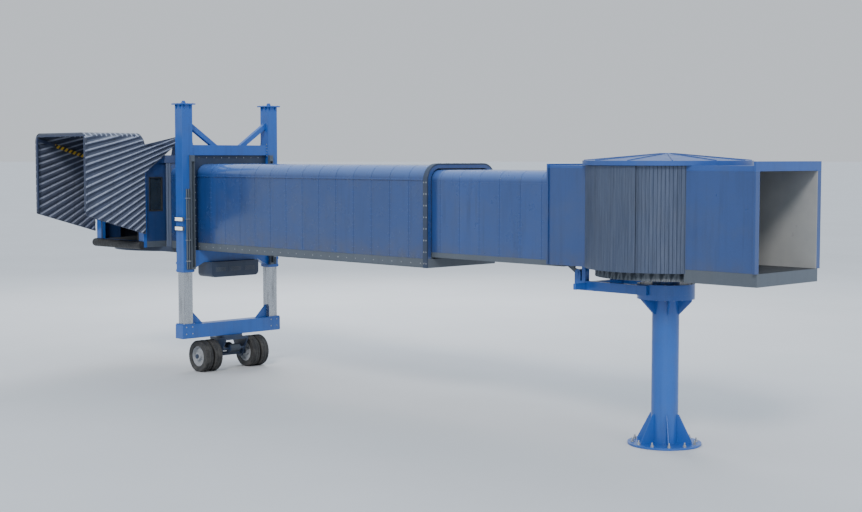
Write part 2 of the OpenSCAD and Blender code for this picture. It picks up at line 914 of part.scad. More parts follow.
// Turntable, cheeks, axle and motors of the wheel carriage
module carriage_frame() {
    top_z = carriage_beam_z - turn_h;
    color("darkslategray")
        translate([portal_x, 0, 0]) {
            translate([0, 0, top_z])
                cylinder(r = turn_r, h = turn_h);
            block([-turn_r, -cheek_y - cheek_t, top_z - 60], [turn_r, cheek_y + cheek_t, top_z + eps]);
            both_sides()
                plate_y(cheek_y + cheek_t / 2, cheek_t) {
                    polygon([
                        [-turn_r, top_z - 50],
                        [turn_r, top_z - 50],
                        [150, axle_z - 20],
                        [-150, axle_z - 20]
                    ]);
                    translate([0, axle_z])
                        circle(150);
                }
            plate_y(0, wheel_track + 2 * tyre_w + twin_gap + 80)
                translate([0, axle_z])
                    circle(axle_r);
            for (side = [-1, 1])
                translate([side * 230, 0, axle_z + 190])
                    rotate([90, 0, 0])
                        cylinder(r = motor_r, h = motor_l, center = true);
            block([-260, -cheek_y - eps, axle_z + 160], [260, cheek_y + eps, axle_z + 220]);
        }
}

// Places of the wheels on the axle: twin wheels on each side
module at_wheels() {
    for (side = [-1, 1])
        for (twin = [-1, 1])
            translate([portal_x, side * wheel_track / 2 + twin * (tyre_w + twin_gap) / 2, axle_z])
                rotate([90, 0, 0])
                    children();
}

// Steel wheels with a dished disc
module wheel_hubs() {
    color("lightgray")
        at_wheels()
            rotate_extrude()
                polygon([
                    [axle_r, -rim_w / 2 - 30],
                    [axle_r + 50, -rim_w / 2 - 30],
                    [axle_r + 60, -40],
                    [wheel_rim_r - 60, -30],
                    [wheel_rim_r - 25, -rim_w / 2],
                    [wheel_rim_r, -rim_w / 2],
                    [wheel_rim_r, rim_w / 2],
                    [wheel_rim_r - 25, rim_w / 2],
                    [wheel_rim_r - 60, 30],
                    [axle_r + 60, 40],
                    [axle_r + 50, rim_w / 2 + 30],
                    [axle_r, rim_w / 2 + 30]
                ]);
}

// Solid tyres with rounded shoulders, pressed flat where they stand
module tyres() {
    color("dimgray")
        difference() {
            at_wheels()
                rotate_extrude()
                    tyre_section();
            block([portal_x - tyre_r, -wheel_track, -tyre_r], [portal_x + tyre_r, wheel_track, 0]);
        }
}

module tyre_section() {
    translate([wheel_rim_r, -tyre_w / 2])
        square([tyre_r - shoulder_r - wheel_rim_r, tyre_w]);
    translate([tyre_r - shoulder_r - eps, -tyre_w / 2 + shoulder_r])
        square([shoulder_r + eps, tyre_w - 2 * shoulder_r]);
    for (side = [-1, 1])
        translate([tyre_r - shoulder_r, side * (tyre_w / 2 - shoulder_r)])
            circle(shoulder_r);
}

// Places the cab's pieces: drawn facing +X, then turned to the cab's heading
module at_cab() {
    translate([cab_x, 0, 0])
        rotate([0, 0, cab_heading])
            children();
}

module cab_floor() {
    color("lightslategray")
        at_cab() {
            translate([0, 0, cab_base_z])
                cylinder(r = rim_r - run_gap, h = cab_floor_t);
            block([0, -cab_w / 2, cab_base_z], [cab_front, cab_w / 2, cab_floor_z]);
        }
}

// Plan of the cab's roof: a disc over the drum and a straight front part
module cab_plan(spread) {
    circle(r = rim_out_r - roof_edge + spread);
    translate([0, -cab_w / 2 - spread])
        square([cab_front + front_frame_t, cab_w + 2 * spread]);
}

module cab_ceiling() {
    color("slategray")
        at_cab()
            translate([0, 0, cab_roof_z])
                linear_extrude(ceiling_t)
                    cab_plan(roof_edge);
}

// Roof housing: a top plate with a fascia all round
module cab_roof() {
    roof_h = cab_top_z - cab_roof_z - ceiling_t;
    color("darkslategray")
        at_cab()
            translate([0, 0, cab_roof_z + ceiling_t])
                difference() {
                    linear_extrude(roof_h)
                        cab_plan(roof_edge);
                    translate([0, 0, -eps])
                        linear_extrude(roof_h - ceiling_t + eps)
                            cab_plan(roof_edge - ceiling_t);
                }
}

// Side walls with a window opening between two posts
module cab_walls() {
    color("darkslategray")
        at_cab()
            both_sides()
                difference() {
                    block([cab_wall_back, cab_w / 2 - cab_wall_t, cab_floor_z], [cab_front, cab_w / 2, cab_roof_z]);
                    block([window_x, 0, window_z], [window_x + window_l, cab_w, window_z + window_h]);
                }
}

module cab_windows() {
    color("lightblue")
        at_cab()
            both_sides()
                block([window_x, cab_w / 2 - cab_wall_t / 2 - pane_t / 2, window_z],
                    [window_x + window_l, cab_w / 2 - cab_wall_t / 2 + pane_t / 2, window_z + window_h]);
}

module cab_front_frame() {
    color("steelblue")
        at_cab()
            difference() {
                block([cab_front, -cab_w / 2, cab_base_z], [cab_front + front_frame_t, cab_w / 2, cab_roof_z]);
                block([cab_front - eps, -doorway_w / 2, cab_floor_z],
                    [cab_front + front_frame_t + eps, doorway_w / 2, cab_floor_z + doorway_h]);
            }
}

module cab_curtain() {
    color("silver")
        at_cab()
            difference() {
                slat_curtain(cab_leaf_r, -cab_half_deg - cab_leaf_deg, -cab_half_deg + 2, cab_floor_z, cab_roof_z);
                block([cab_wall_back, -cab_w, 0], [cab_front, 0, cab_top_z]);
            }
}

// Rubber bumper under the doorway, rounded at the front
module cab_bumper() {
    bumper_x = cab_front + front_frame_t;
    color("dimgray")
        at_cab()
            plate_y(0, cab_w)
                intersection() {
                    translate([bumper_x, cab_floor_z - bumper_h])
                        square([bumper_d, bumper_h]);
                    union() {
                        translate([bumper_x, cab_floor_z - bumper_h])
                            square([bumper_d - bumper_h / 2, bumper_h]);
                        translate([bumper_x + bumper_d - bumper_h / 2, cab_floor_z - bumper_h / 2])
                            circle(bumper_h / 2);
                    }
                }
}

// Side outline of the canopy, with the gusset that runs back to its bracket on the cab's roof
module canopy_side() {
    polygon([
        [canopy_x, canopy_base_z],
        [canopy_x, gusset_low_z],
        [gusset_x, gusset_top_z - gusset_tip_h],
        [gusset_x, gusset_top_z],
        [canopy_x, canopy_rear_z],
        [canopy_x + canopy_slope, canopy_top_z],
        [canopy_x + canopy_reach, canopy_top_z],
        [canopy_x + canopy_reach, canopy_lip_z]
    ]);
}

// Space between the canopy's sides, open behind the front frame, at the front and below
module canopy_inside() {
    polygon([
        [gusset_x - eps, canopy_base_z - eps],
        [gusset_x - eps, gusset_top_z + eps],
        [canopy_x, gusset_top_z + eps],
        [canopy_x, canopy_rear_z - canopy_t],
        [canopy_x + canopy_slope, canopy_top_z - canopy_t],
        [canopy_x + canopy_reach + eps, canopy_top_z - canopy_t],
        [canopy_x + canopy_reach + eps, canopy_base_z - eps]
    ]);
}

// Pleated canopy: a roof, two sides and their gussets
module canopy() {
    color("slategray")
        at_cab()
            difference() {
                plate_y(0, canopy_w)
                    canopy_side();
                plate_y(0, canopy_w - 2 * canopy_t)
                    canopy_inside();
            }
}

// Bowed tube frames inside the canopy, the arms that swing them out and the gussets' brackets
module canopy_bows() {
    bow_y = canopy_w / 2 - canopy_t - seat;
    bow_top_z = canopy_top_z - canopy_t - seat;
    color("gray")
        at_cab() {
            for (x = [canopy_x + canopy_slope + bow_set_back, canopy_x + canopy_reach - bow_w])
                canopy_bow(x, bow_y, bow_top_z);
            both_sides() {
                plate_y(bow_y - bow_w / 2, bow_w)
                    polygon([
                        [canopy_x - seat, swing_arm_low_z],
                        [canopy_x - seat, swing_arm_low_z + swing_arm_h],
                        [canopy_x + canopy_reach - bow_w / 2, swing_arm_high_z + swing_arm_h],
                        [canopy_x + canopy_reach - bow_w / 2, swing_arm_high_z]
                    ]);
                plate_y(bow_y - bow_w / 2, bow_w)
                    polygon([
                        [gusset_x - bracket_l, cab_top_z],
                        [gusset_x + bracket_l, cab_top_z],
                        [gusset_x + 60, gusset_top_z],
                        [gusset_x - 20, gusset_top_z]
                    ]);
            }
        }
}

module canopy_bow(x, bow_y, bow_top_z) {
    low_z = canopy_lip_z + bow_foot;
    block([x, -bow_y, bow_top_z - bow_w], [x + bow_w, bow_y, bow_top_z]);
    both_sides()
        block([x, bow_y - bow_w, low_z], [x + bow_w, bow_y, bow_top_z - eps]);
}

base_plate();
pedestal_column();
rotunda_floor();
rotunda_roof();
passage_floor();
passage_walls();
passage_roof();
fixed_curtains();
swing_yoke();
hood_floor();
hood_walls();
hood_roof();
swing_curtains();
inner_floor();
inner_walls();
inner_roof();
outer_floor();
outer_walls();
outer_roof();
outer_collars();
lift_posts();
post_caps();
portal_beam();
portal_ring();
under_beam();
drive_box();
cable_troughs();
work_lamps();
cab_support();
cab_fixed_curtain();
lift_legs();
carriage_beam();
carriage_frame();
wheel_hubs();
tyres();
cab_floor();
cab_ceiling();
cab_roof();
cab_walls();
cab_windows();
cab_front_frame();
cab_curtain();
cab_bumper();
canopy_bows();
canopy();
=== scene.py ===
"""Looks of the passenger boarding bridge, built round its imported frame. Metres, +Z up."""

import json
import math
from functools import partialmethod

import bmesh
import bpy
from mathutils import Matrix, Vector, noise


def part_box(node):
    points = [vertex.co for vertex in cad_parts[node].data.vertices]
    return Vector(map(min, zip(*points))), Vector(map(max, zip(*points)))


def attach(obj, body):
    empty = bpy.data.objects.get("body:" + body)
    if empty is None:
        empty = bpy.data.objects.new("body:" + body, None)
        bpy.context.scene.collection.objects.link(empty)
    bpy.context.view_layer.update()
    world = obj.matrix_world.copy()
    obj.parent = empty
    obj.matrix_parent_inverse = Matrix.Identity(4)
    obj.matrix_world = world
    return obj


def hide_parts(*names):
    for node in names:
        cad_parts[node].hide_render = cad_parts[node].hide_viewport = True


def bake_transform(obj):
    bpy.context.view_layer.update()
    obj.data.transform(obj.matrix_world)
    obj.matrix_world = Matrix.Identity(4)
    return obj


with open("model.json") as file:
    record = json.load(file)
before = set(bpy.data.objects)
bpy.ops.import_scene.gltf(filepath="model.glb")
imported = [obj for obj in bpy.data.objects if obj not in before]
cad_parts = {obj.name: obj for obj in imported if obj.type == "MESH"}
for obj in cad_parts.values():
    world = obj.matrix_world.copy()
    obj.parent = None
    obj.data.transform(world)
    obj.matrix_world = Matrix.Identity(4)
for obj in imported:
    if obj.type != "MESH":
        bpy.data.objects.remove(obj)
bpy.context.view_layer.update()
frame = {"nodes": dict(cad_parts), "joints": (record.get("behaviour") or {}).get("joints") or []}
nodes = frame["nodes"]

# Places and sizes taken from the frame
CAB_X = next(joint["pos_m"][0] for joint in frame["joints"] if joint["name"] == "cab_turn")
INNER_LOW, INNER_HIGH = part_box("inner_walls")
OUTER_LOW, OUTER_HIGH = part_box("outer_walls")
COLLAR_LOW, COLLAR_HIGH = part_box("outer_collars")
POST_LOW, POST_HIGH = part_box("lift_posts")
CAP_LOW, CAP_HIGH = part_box("post_caps")
BEAM_LOW, BEAM_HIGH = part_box("portal_beam")
RING_LOW, RING_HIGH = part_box("portal_ring")
DRIVE_LOW, DRIVE_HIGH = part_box("drive_box")
CARRIAGE_LOW, CARRIAGE_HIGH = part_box("carriage_beam")
TYRE_LOW, TYRE_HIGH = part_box("tyres")
HUB_LOW, HUB_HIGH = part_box("wheel_hubs")
CANOPY_LOW, CANOPY_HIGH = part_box("canopy")
CAB_FRAME_LOW, CAB_FRAME_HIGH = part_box("cab_front_frame")
WINDOW_LOW, WINDOW_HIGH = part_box("cab_windows")
INNER_ROOF_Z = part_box("inner_roof")[1].z
OUTER_ROOF_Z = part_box("outer_roof")[1].z
OUTER_FLOOR_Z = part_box("outer_floor")[0].z
CAB_ROOF_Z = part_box("cab_roof")[1].z
CAB_CEILING_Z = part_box("cab_ceiling")[0].z
CAB_HALF = CAB_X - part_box("cab_walls")[0].x
PORTAL_X = (POST_LOW.x + POST_HIGH.x) / 2
POST_W = POST_HIGH.x - POST_LOW.x
POST_Y = POST_HIGH.y - POST_W / 2
POST_INNER_Y = POST_Y - POST_W / 2
AXLE_Z = (HUB_LOW.z + HUB_HIGH.z) / 2

# Sizes of the bridge that no box of the frame gives
TUNNEL_AXIS_Z = 5.4
PANEL_WIDTH = 0.76
ANCHOR_CIRCLE = 1.56
BEARING_CIRCLE = 1.24
BEARING_FOOT_Z = 3.5797
HUB_TOP_Z = 3.95
TYRE_PAIR_Y = 0.95
TWIN_Y = 0.18
DRUM_RADIUS = 2.05
DRUM_HALF = 1.45
DOORWAY_HALF = 1.10
DOORWAY_TOP_Z = 6.60

# The canopy's side outline: forward and up, from its rear foot round to its front lip
CANOPY_REAR = CAB_FRAME_HIGH.y + 0.0003
CANOPY_FRONT = CANOPY_HIGH.y
CANOPY_TOP = CANOPY_HIGH.z
LIP_RISE = 0.65
CANOPY_LIP = CANOPY_LOW.z + LIP_RISE
CANOPY_SLOPE = 0.12
CREST_F = CANOPY_REAR + CANOPY_SLOPE
GUSSET_F = CANOPY_LOW.y
GUSSET_TOP = CAB_ROOF_Z + 0.60
GUSSET_TIP = GUSSET_TOP - 0.20
GUSSET_LOW = CAB_CEILING_Z - 0.33
RISE_Z = CAB_ROOF_Z + 0.33
CANOPY_OUTLINE = [
    (CANOPY_REAR, CANOPY_LOW.z), (CANOPY_REAR, GUSSET_LOW), (GUSSET_F, GUSSET_TIP),
    (GUSSET_F, GUSSET_TOP), (CANOPY_REAR, RISE_Z), (CREST_F, CANOPY_TOP),
    (CANOPY_FRONT, CANOPY_TOP), (CANOPY_FRONT, CANOPY_LIP)]
CANOPY_HALF = (CANOPY_HIGH.x - CANOPY_LOW.x) / 2
CANOPY_CORNER = 0.30
CANOPY_FLAT = CANOPY_HALF - CANOPY_CORNER
# The apron hangs from the rear rise to just over the front edge of the cab's roof
APRON_LOW = CAB_ROOF_Z - 0.035
# The side's folds are nearly parallel: they spread from a line far behind and above the cab
FAN_F = -3.8
FAN_Z = 9.24
FOLD_ANGLE = math.radians(1.45)
FOLD_DEPTH = 0.052
ROOF_FOLD = 0.19
ROOF_FOLD_DEPTH = 0.042
ROOF_SAG = 0.030


def spread(low, high, count):
    """Values from low to high in a number of even steps."""
    return [low + (high - low) * i / count for i in range(count + 1)]


def steps(low, high, pitch):
    """Values from low to high in even steps of about one pitch."""
    return spread(low, high, max(1, round((high - low) / pitch)))


def turns(count, offset=0.0):
    """Even angles round a full circle."""
    return [(i + offset) * math.tau / count for i in range(count)]


def ease(value, width):
    """0 at or below 0, 1 at or above the width, and smooth between."""
    t = min(1.0, max(0.0, value / width))
    return t * t * (3.0 - 2.0 * t)


def even_pitch(length):
    """The pitch nearest the panels' usual width that divides a wall evenly."""
    return length / round(length / PANEL_WIDTH)


def on_circle(radius, turn, z, x=0.0):
    """A point on a level circle about an upright axis at x."""
    return Vector((x + radius * math.cos(turn), radius * math.sin(turn), z))


def from_cab(forward, side, z):
    """A point of the cab: forward from its turning centre, to its left, and up."""
    return Vector((CAB_X - side, forward, z))


def toward(direction, place):
    """Turns +Z to a direction and moves it to a place."""
    turned = Vector(direction).to_track_quat("Z", "Y").to_matrix().to_4x4()
    return Matrix.Translation(Vector(place)) @ turned


# Profiles as (radius, height) for a bolt or rivet whose own radius is 1
WASHER = [(0.0, 0.12), (1.38, 0.12), (1.45, 0.06), (1.45, 0.0)]
BOLT_HEAD = [(0.0, 0.74), (0.80, 0.74), (0.92, 0.66), (0.92, 0.12)]
RIVET = [(0.0, 0.42), (0.55, 0.34), (1.0, 0.0)]


def placed(name, data):
    """A new object in the scene."""
    made = bpy.data.objects.new(name, data)
    bpy.context.scene.collection.objects.link(made)
    return made


class Shape:
    """Collects points and faces, and makes one mesh piece of them."""

    def __init__(self):
        self.points = []
        self.faces = []

    def add(self, points, faces, matrix=None):
        start = len(self.points)
        self.points += [matrix @ Vector(p) if matrix else Vector(p) for p in points]
        self.faces += [[start + i for i in face] for face in faces]

    def prism(self, near, far, matrix=None):
        """A solid between two outlines with the same number of points."""
        count = len(near)
        faces = [(i, (i + 1) % count, count + (i + 1) % count, count + i) for i in range(count)]
        faces += [list(range(count))[::-1], [count + i for i in range(count)]]
        self.add(near + far, faces, matrix)

    def box(self, corner, opposite):
        """A box between two opposite corners, in any order."""
        (x0, x1), (y0, y1), (z0, z1) = [sorted(pair) for pair in zip(corner, opposite)]
        points = [(x, y, z) for z in (z0, z1) for x, y in ((x0, y0), (x1, y0), (x1, y1), (x0, y1))]
        faces = [(0, 3, 2, 1), (4, 5, 6, 7), (0, 1, 5, 4), (1, 2, 6, 5), (2, 3, 7, 6), (3, 0, 4, 7)]
        self.add(points, faces)

    def lathe(self, profile, sides=24, matrix=None, closed=False):
        """Turns a profile of (radius, height) points about Z."""
        count = len(profile)
        points = [(r * math.cos(a), r * math.sin(a), z) for a in turns(sides) for r, z in profile]
        faces = []
        for i in range(sides):
            after = (i + 1) % sides
            for j in range(count if closed else count - 1):
                k = (j + 1) % count
                faces.append((i * count + j, after * count + j, after * count + k, i * count + k))
        if not closed:
            faces.append([i * count for i in reversed(range(sides))])
            faces.append([i * count + count - 1 for i in range(sides)])
        self.add(points, faces, matrix)

    def tube(self, path, radius, sides):
        """Sweeps a circle along a path; radius is a number or one for each point."""
        path = [Vector(p) for p in path]
        count = len(path)
        radii = radius if isinstance(radius, list) else [radius] * count
        points = []
        side = None
        for i, point in enumerate(path):
            before = path[i - 1] if i else point
            after = path[i + 1] if i + 1 < count else point
            along = (after - before).normalized()
            side = side or along.orthogonal().normalized()
            side = (side - along * side.dot(along)).normalized()
            up = along.cross(side)
            points += [point + radii[i] * (math.cos(a) * side + math.sin(a) * up)
                       for a in turns(sides)]
        faces = [(i * sides + k, i * sides + (k + 1) % sides,
                  (i + 1) * sides + (k + 1) % sides, (i + 1) * sides + k)
                 for i in range(count - 1) for k in range(sides)]
        faces.append([k for k in reversed(range(sides))])
        faces.append([(count - 1) * sides + k for k in range(sides)])
        self.add(points, faces)

    def grid(self, rows):
        """A sheet through rows of points."""
        width = len(rows[0])
        points = [p for row in rows for p in row]
        faces = [(i * width + j, i * width + j + 1, (i + 1) * width + j + 1, (i + 1) * width + j)
                 for i in range(len(rows) - 1) for j in range(width - 1)]
        self.add(points, faces)

    def studs(self, profile, sides, places, direction, radius):
        """The same turned profile at each place."""
        scaled = [(r * radius, z * radius) for r, z in profile]
        for place in places:
            self.lathe(scaled, sides, toward(direction, place))

    def piece(self, name, body, slot, material, smooth=None, bevel=0.0):
        """Makes the object, with its material and body. slot is not used. smooth is an angle in degrees."""
        mesh = bpy.data.meshes.new(name)
        mesh.from_pydata([tuple(p) for p in self.points], [], self.faces)
        mesh.validate()
        made = placed(name, mesh)
        mesh.materials.append(material)
        tidy_faces(mesh, smooth)
        if bevel:
            add_bevel(made, bevel)
        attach(made, body)
        return made


def tidy_faces(mesh, smooth):
    """Joins doubled points, turns the faces outwards, and smooths edges blunter than an angle."""
    edit = bmesh.new()
    edit.from_mesh(mesh)
    bmesh.ops.remove_doubles(edit, verts=edit.verts, dist=0.00001)
    bmesh.ops.recalc_face_normals(edit, faces=edit.faces)
    if smooth is not None:
        limit = math.radians(smooth)
        for face in edit.faces:
            face.smooth = True
        for edge in edit.edges:
            edge.smooth = len(edge.link_faces) == 2 and edge.calc_face_angle(0) < limit
    edit.to_mesh(mesh)
    edit.free()


def add_bevel(made, width):
    """Rounds the sharp edges so that they catch the light."""
    bevel = made.modifiers.new("soften", "BEVEL")
    bevel.width = width
    bevel.segments = 2
    bevel.limit_method = "ANGLE"
    bevel.angle_limit = math.radians(32)


def thicken(made, thickness):
    """Gives a sheet its thickness, half to each side."""
    solid = made.modifiers.new("thickness", "SOLIDIFY")
    solid.thickness = thickness
    solid.offset = 0.0


# Colours, a pair where a look varies between two
BLUE = (0.012, 0.086, 0.345)
SLATE = (0.013, 0.046, 0.168)
NIGHT = (0.014, 0.027, 0.060)
# Painted reflection: the lighter blue of the sky, mirrored on faces that turn up
SKY_SHEEN_BLUE = (0.060, 0.135, 0.380)
GREY = (0.070, 0.085, 0.105)
GRIME = (0.080, 0.082, 0.085)
SPLASH = (0.060, 0.055, 0.050)
GREASE = (0.055, 0.048, 0.040)
LINING = ((0.30, 0.31, 0.31), (0.36, 0.36, 0.355))
SLAT_GREY = (0.062, 0.082, 0.135)
SLAT_BRIGHT = (0.16, 0.19, 0.26)
DECK_RUBBER = ((0.030, 0.034, 0.040), (0.052, 0.056, 0.062))
RUBBER_DUST = (0.105, 0.098, 0.088)
CLOTH_DUST = (0.115, 0.130, 0.165)
# Painted highlight on the ridges of the canopy's folds
RIDGE_HIGHLIGHT = ((0.24, 0.27, 0.36), (0.36, 0.39, 0.49))
GLASS = (0.035, 0.050, 0.065)
GLASS_DUST = (0.16, 0.17, 0.18)
LAMP_WHITE = ((0.86, 0.83, 0.72), (0.96, 0.93, 0.84))
LAMP_GLOW = ((0.98, 0.92, 0.74), (1.0, 0.97, 0.86))
SAFETY_YELLOW = (0.62, 0.40, 0.03)
SAFETY_BLACK = (0.020, 0.020, 0.022)
WORN_PAINT = (0.20, 0.17, 0.12)
STUDIO_GREY = ((0.52, 0.52, 0.525), (0.55, 0.55, 0.555))


class Nodes:
    """The node tree of a material or a world."""

    def __init__(self, owner):
        owner.use_nodes = True
        self.tree = owner.node_tree
        self.coords = self.node("TexCoord", {}).outputs

    def fill(self, node, inputs):
        """Links each input to a socket, or sets it to a constant."""
        for key, value in inputs.items():
            if isinstance(value, bpy.types.NodeSocket):
                self.tree.links.new(value, node.inputs[key])
            else:
                node.inputs[key].default_value = value

    def node(self, kind, inputs, **settings):
        made = self.tree.nodes.new("ShaderNode" + kind)
        for name, value in settings.items():
            setattr(made, name, value)
        self.fill(made, inputs)
        return made


class Shader(Nodes):
    """A node material. Its tone is its colour so far, and each layer covers some of it."""

    def __init__(self, name, roughness, metallic=0.0, coat=0.0, sheen=0.0):
        self.material = bpy.data.materials.new(name)
        super().__init__(self.material)
        self.tone = None
        self.place = self.coords["Object"]
        self.normal = self.coords["Normal"]
        self.surface = self.tree.nodes["Principled BSDF"]
        self.fill(self.surface, {"Roughness": roughness, "Metallic": metallic, "Coat Weight": coat,
                                 "Coat Roughness": 0.12, "Sheen Weight": sheen})

    def stretched(self, across, upright):
        """The object's own coordinates, scaled across and upright."""
        scaled = {"Vector": self.place, "Scale": (across, across, upright)}
        return self.node("Mapping", scaled).outputs["Vector"]

    def noise(self, scale, detail, roughness=0.55, vector=None):
        inputs = {"Vector": vector or self.place, "Scale": scale, "Detail": detail,
                  "Roughness": roughness}
        return self.node("TexNoise", inputs).outputs["Fac"]

    def fit(self, value, low, high, to=(0.0, 1.0)):
        """Maps low to high on to another range, and holds the value inside it."""
        inputs = {"Value": value, "From Min": low, "From Max": high, "To Min": to[0], "To Max": to[1]}
        return self.node("MapRange", inputs).outputs["Result"]

    def patches(self, scale, detail, low=0.3, high=0.7, to=(0.0, 1.0), roughness=0.55):
        """Soft noise, fitted to a range."""
        return self.fit(self.noise(scale, detail, roughness), low, high, to)

    def streaks(self, across, upright, low, high, most=1.0):
        """Upright runs, as rain leaves them."""
        runs = self.noise(1.0, 5, 0.65, self.stretched(across, upright))
        return self.fit(runs, low, high, (0.0, most))

    def math(self, operation, a, b=0.0):
        return self.node("Math", {0: a, 1: b}, operation=operation).outputs[0]

    plus = partialmethod(math, "ADD")
    minus = partialmethod(math, "SUBTRACT")
    times = partialmethod(math, "MULTIPLY")
    # 1 where the first value is the greater, and 0 elsewhere
    above = partialmethod(math, "GREATER_THAN")

    def vectors(self, operation, a, b, output="Vector"):
        made = self.node("VectorMath", {0: a, 1: b}, operation=operation)
        return made.outputs[output]

    def mix(self, factor, a, b):
        """Colour a where the factor is 0, and colour b where it is 1."""
        a, b = [(*colour, 1.0) if isinstance(colour, tuple) else colour for colour in (a, b)]
        return self.node("Mix", {"Factor": factor, 6: a, 7: b}, data_type="RGBA").outputs[2]

    def layer(self, factor, colour):
        self.tone = self.mix(factor, self.tone, colour)

    def axis(self, name, vector=None):
        return self.node("SeparateXYZ", {0: vector or self.place}).outputs[name]

    def bump(self, height, distance, strength=1.0, under=None):
        inputs = {"Height": height, "Distance": distance, "Strength": strength}
        if under is not None:
            inputs["Normal"] = under
        return self.node("Bump", inputs).outputs["Normal"]

    def finish(self, roughness=None, normal=None):
        inputs = {"Base Color": self.tone, "Roughness": roughness, "Normal": normal}
        self.fill(self.surface, {key: value for key, value in inputs.items() if value is not None})
        return self.material


def tinted(colour, factor):
    """The colour made lighter or darker."""
    return tuple(min(1.0, part * factor) for part in colour)


def weathered(look, colour, grime, streaks):
    """Lays on a colour that varies, rain streaks and a film of grime, and gives the film."""
    look.tone = look.mix(look.patches(0.5, 2), tinted(colour, 0.93), tinted(colour, 1.07))
    look.layer(look.patches(42, 2, 0.35, 0.65, (0.0, 0.3)), tinted(colour, 1.3))
    look.layer(look.streaks(7.5, 0.45, 0.50, 0.74, streaks), tinted(colour, 0.42))
    film = look.patches(1.1, 7, 0.46, 0.86, (0.0, grime), 0.62)
    look.layer(film, GRIME)
    return film


def painted(name, colour, roughness, grime, streaks, coat):
    """Sprayed paint on steel: orange peel, streaks, grime and small chips."""
    look = Shader(name, roughness, coat=coat)
    film = weathered(look, colour, grime, streaks)
    chips = look.patches(26, 6, 0.70, 0.73, (0.0, 0.55), 0.75)
    look.layer(chips, tinted(colour, 2.4))
    rough = look.plus(look.times(film, 0.25),
                      look.patches(3.1, 3, to=(roughness - 0.04, roughness + 0.08)))
    peel = look.bump(look.noise(150, 1), 0.0006)
    return look.finish(rough, look.bump(look.noise(2.2, 2), 0.012, 0.35, peel))


def facing_out(look):
    """1 where a tunnel's surface faces away from the tunnel's axis, 0 inside."""
    offset = look.vectors("SUBTRACT", look.place, (0.0, 0.0, TUNNEL_AXIS_Z))
    across = look.vectors("MULTIPLY", offset, (0.0, 1.0, 1.0))
    return look.above(look.vectors("DOT_PRODUCT", across, look.normal, "Value"), -0.3)


def panelled(name, colour, start_x, pitch, roughness):
    """Painted tunnel panels, each a little different, with a pale lining on the inside and a painted sky
    reflection, lighter blue, on what faces up.
    """
    look = Shader(name, roughness, coat=0.55)
    film = weathered(look, colour, 0.30, 0.40)
    along = look.math("DIVIDE", look.minus(look.axis("X"), start_x), pitch)
    panel = look.node("TexWhiteNoise", {"W": look.math("FLOOR", along)}, noise_dimensions="1D")
    look.layer(look.fit(panel.outputs["Value"], 0.0, 1.0, (0.0, 0.28)), tinted(colour, 0.70))
    low = look.fit(look.axis("Z"), OUTER_LOW.z + 0.02, OUTER_LOW.z + 0.55, (0.45, 0.0))
    look.layer(look.times(low, look.patches(3.4, 4, 0.30, 0.65)), SPLASH)
    # Painted reflection: faces that turn up are made lighter blue, as if they mirrored the sky
    look.layer(look.fit(look.axis("Z", look.normal), 0.15, 0.80, (0.0, 0.80)), SKY_SHEEN_BLUE)
    lining = look.mix(look.patches(1.6, 3), *LINING)
    look.tone = look.mix(facing_out(look), lining, look.tone)
    rough = look.plus(look.times(film, 0.2),
                      look.patches(2.3, 3, to=(roughness - 0.03, roughness + 0.07)))
    waves = look.bump(look.noise(1.0, 1, vector=look.stretched(1.1, 0.8)), 0.02, 0.16)
    return look.finish(rough, look.bump(look.noise(170, 1), 0.0005, 1.0, waves))


def slatted(name):
    """Anodised slats, brushed upright, with a film of dirt."""
    look = Shader(name, 0.42, 0.65)
    film = weathered(look, SLAT_GREY, 0.40, 0.45)
    brushed = look.noise(1.0, 3, 0.6, look.stretched(60, 1.2))
    look.layer(look.fit(brushed, 0.35, 0.65, (0.0, 0.35)), SLAT_BRIGHT)
    rough = look.plus(look.times(film, 0.4), look.fit(brushed, 0.3, 0.7, (0.36, 0.50)))
    return look.finish(rough, look.bump(brushed, 0.0015, 0.5))


def floor_finish(name):
    """Ribbed dark rubber on top of the deck and grey paint on the steel below it."""
    look = Shader(name, 0.6)
    weathered(look, GREY, 0.4, 0.2)
    up = look.above(look.axis("Z", look.normal), 0.9)
    look.layer(up, look.mix(look.patches(5, 4), *DECK_RUBBER))
    ribs = look.times(look.math("PINGPONG", look.axis("Y"), 0.012), up)
    return look.finish(look.fit(up, 0.0, 1.0, (0.45, 0.72)), look.bump(ribs, 0.15, 0.5))


def rubber_like(name, colour, roughness, dust):
    """Black rubber with dust in its grain."""
    look = Shader(name, roughness)
    look.tone = look.mix(look.patches(4.5, 6, 0.42, 0.72, (0.0, dust), 0.7), colour, RUBBER_DUST)
    look.layer(look.patches(36, 3, 0.35, 0.65, (0.0, 0.35)), tinted(colour, 2.1))
    rough = look.patches(8, 3, to=(roughness - 0.10, roughness + 0.12))
    return look.finish(rough, look.bump(look.noise(120, 3), 0.0014, 0.7))


def galvanised(name, colour, roughness, metallic, spangled):
    """Zinc or bright steel, with spangle and grease."""
    look = Shader(name, roughness, metallic)
    cells = look.node("TexVoronoi", {"Vector": look.place, "Scale": 38.0})
    spangle = look.times(look.axis("X", cells.outputs["Color"]), spangled)
    look.tone = look.mix(spangle, tinted(colour, 0.82), tinted(colour, 1.2))
    look.layer(look.streaks(6, 0.5, 0.50, 0.72, 0.6), GREASE)
    rough = look.patches(20, 3, to=(roughness - 0.1, roughness + 0.12))
    return look.finish(rough, look.bump(look.noise(90, 2), 0.0006))


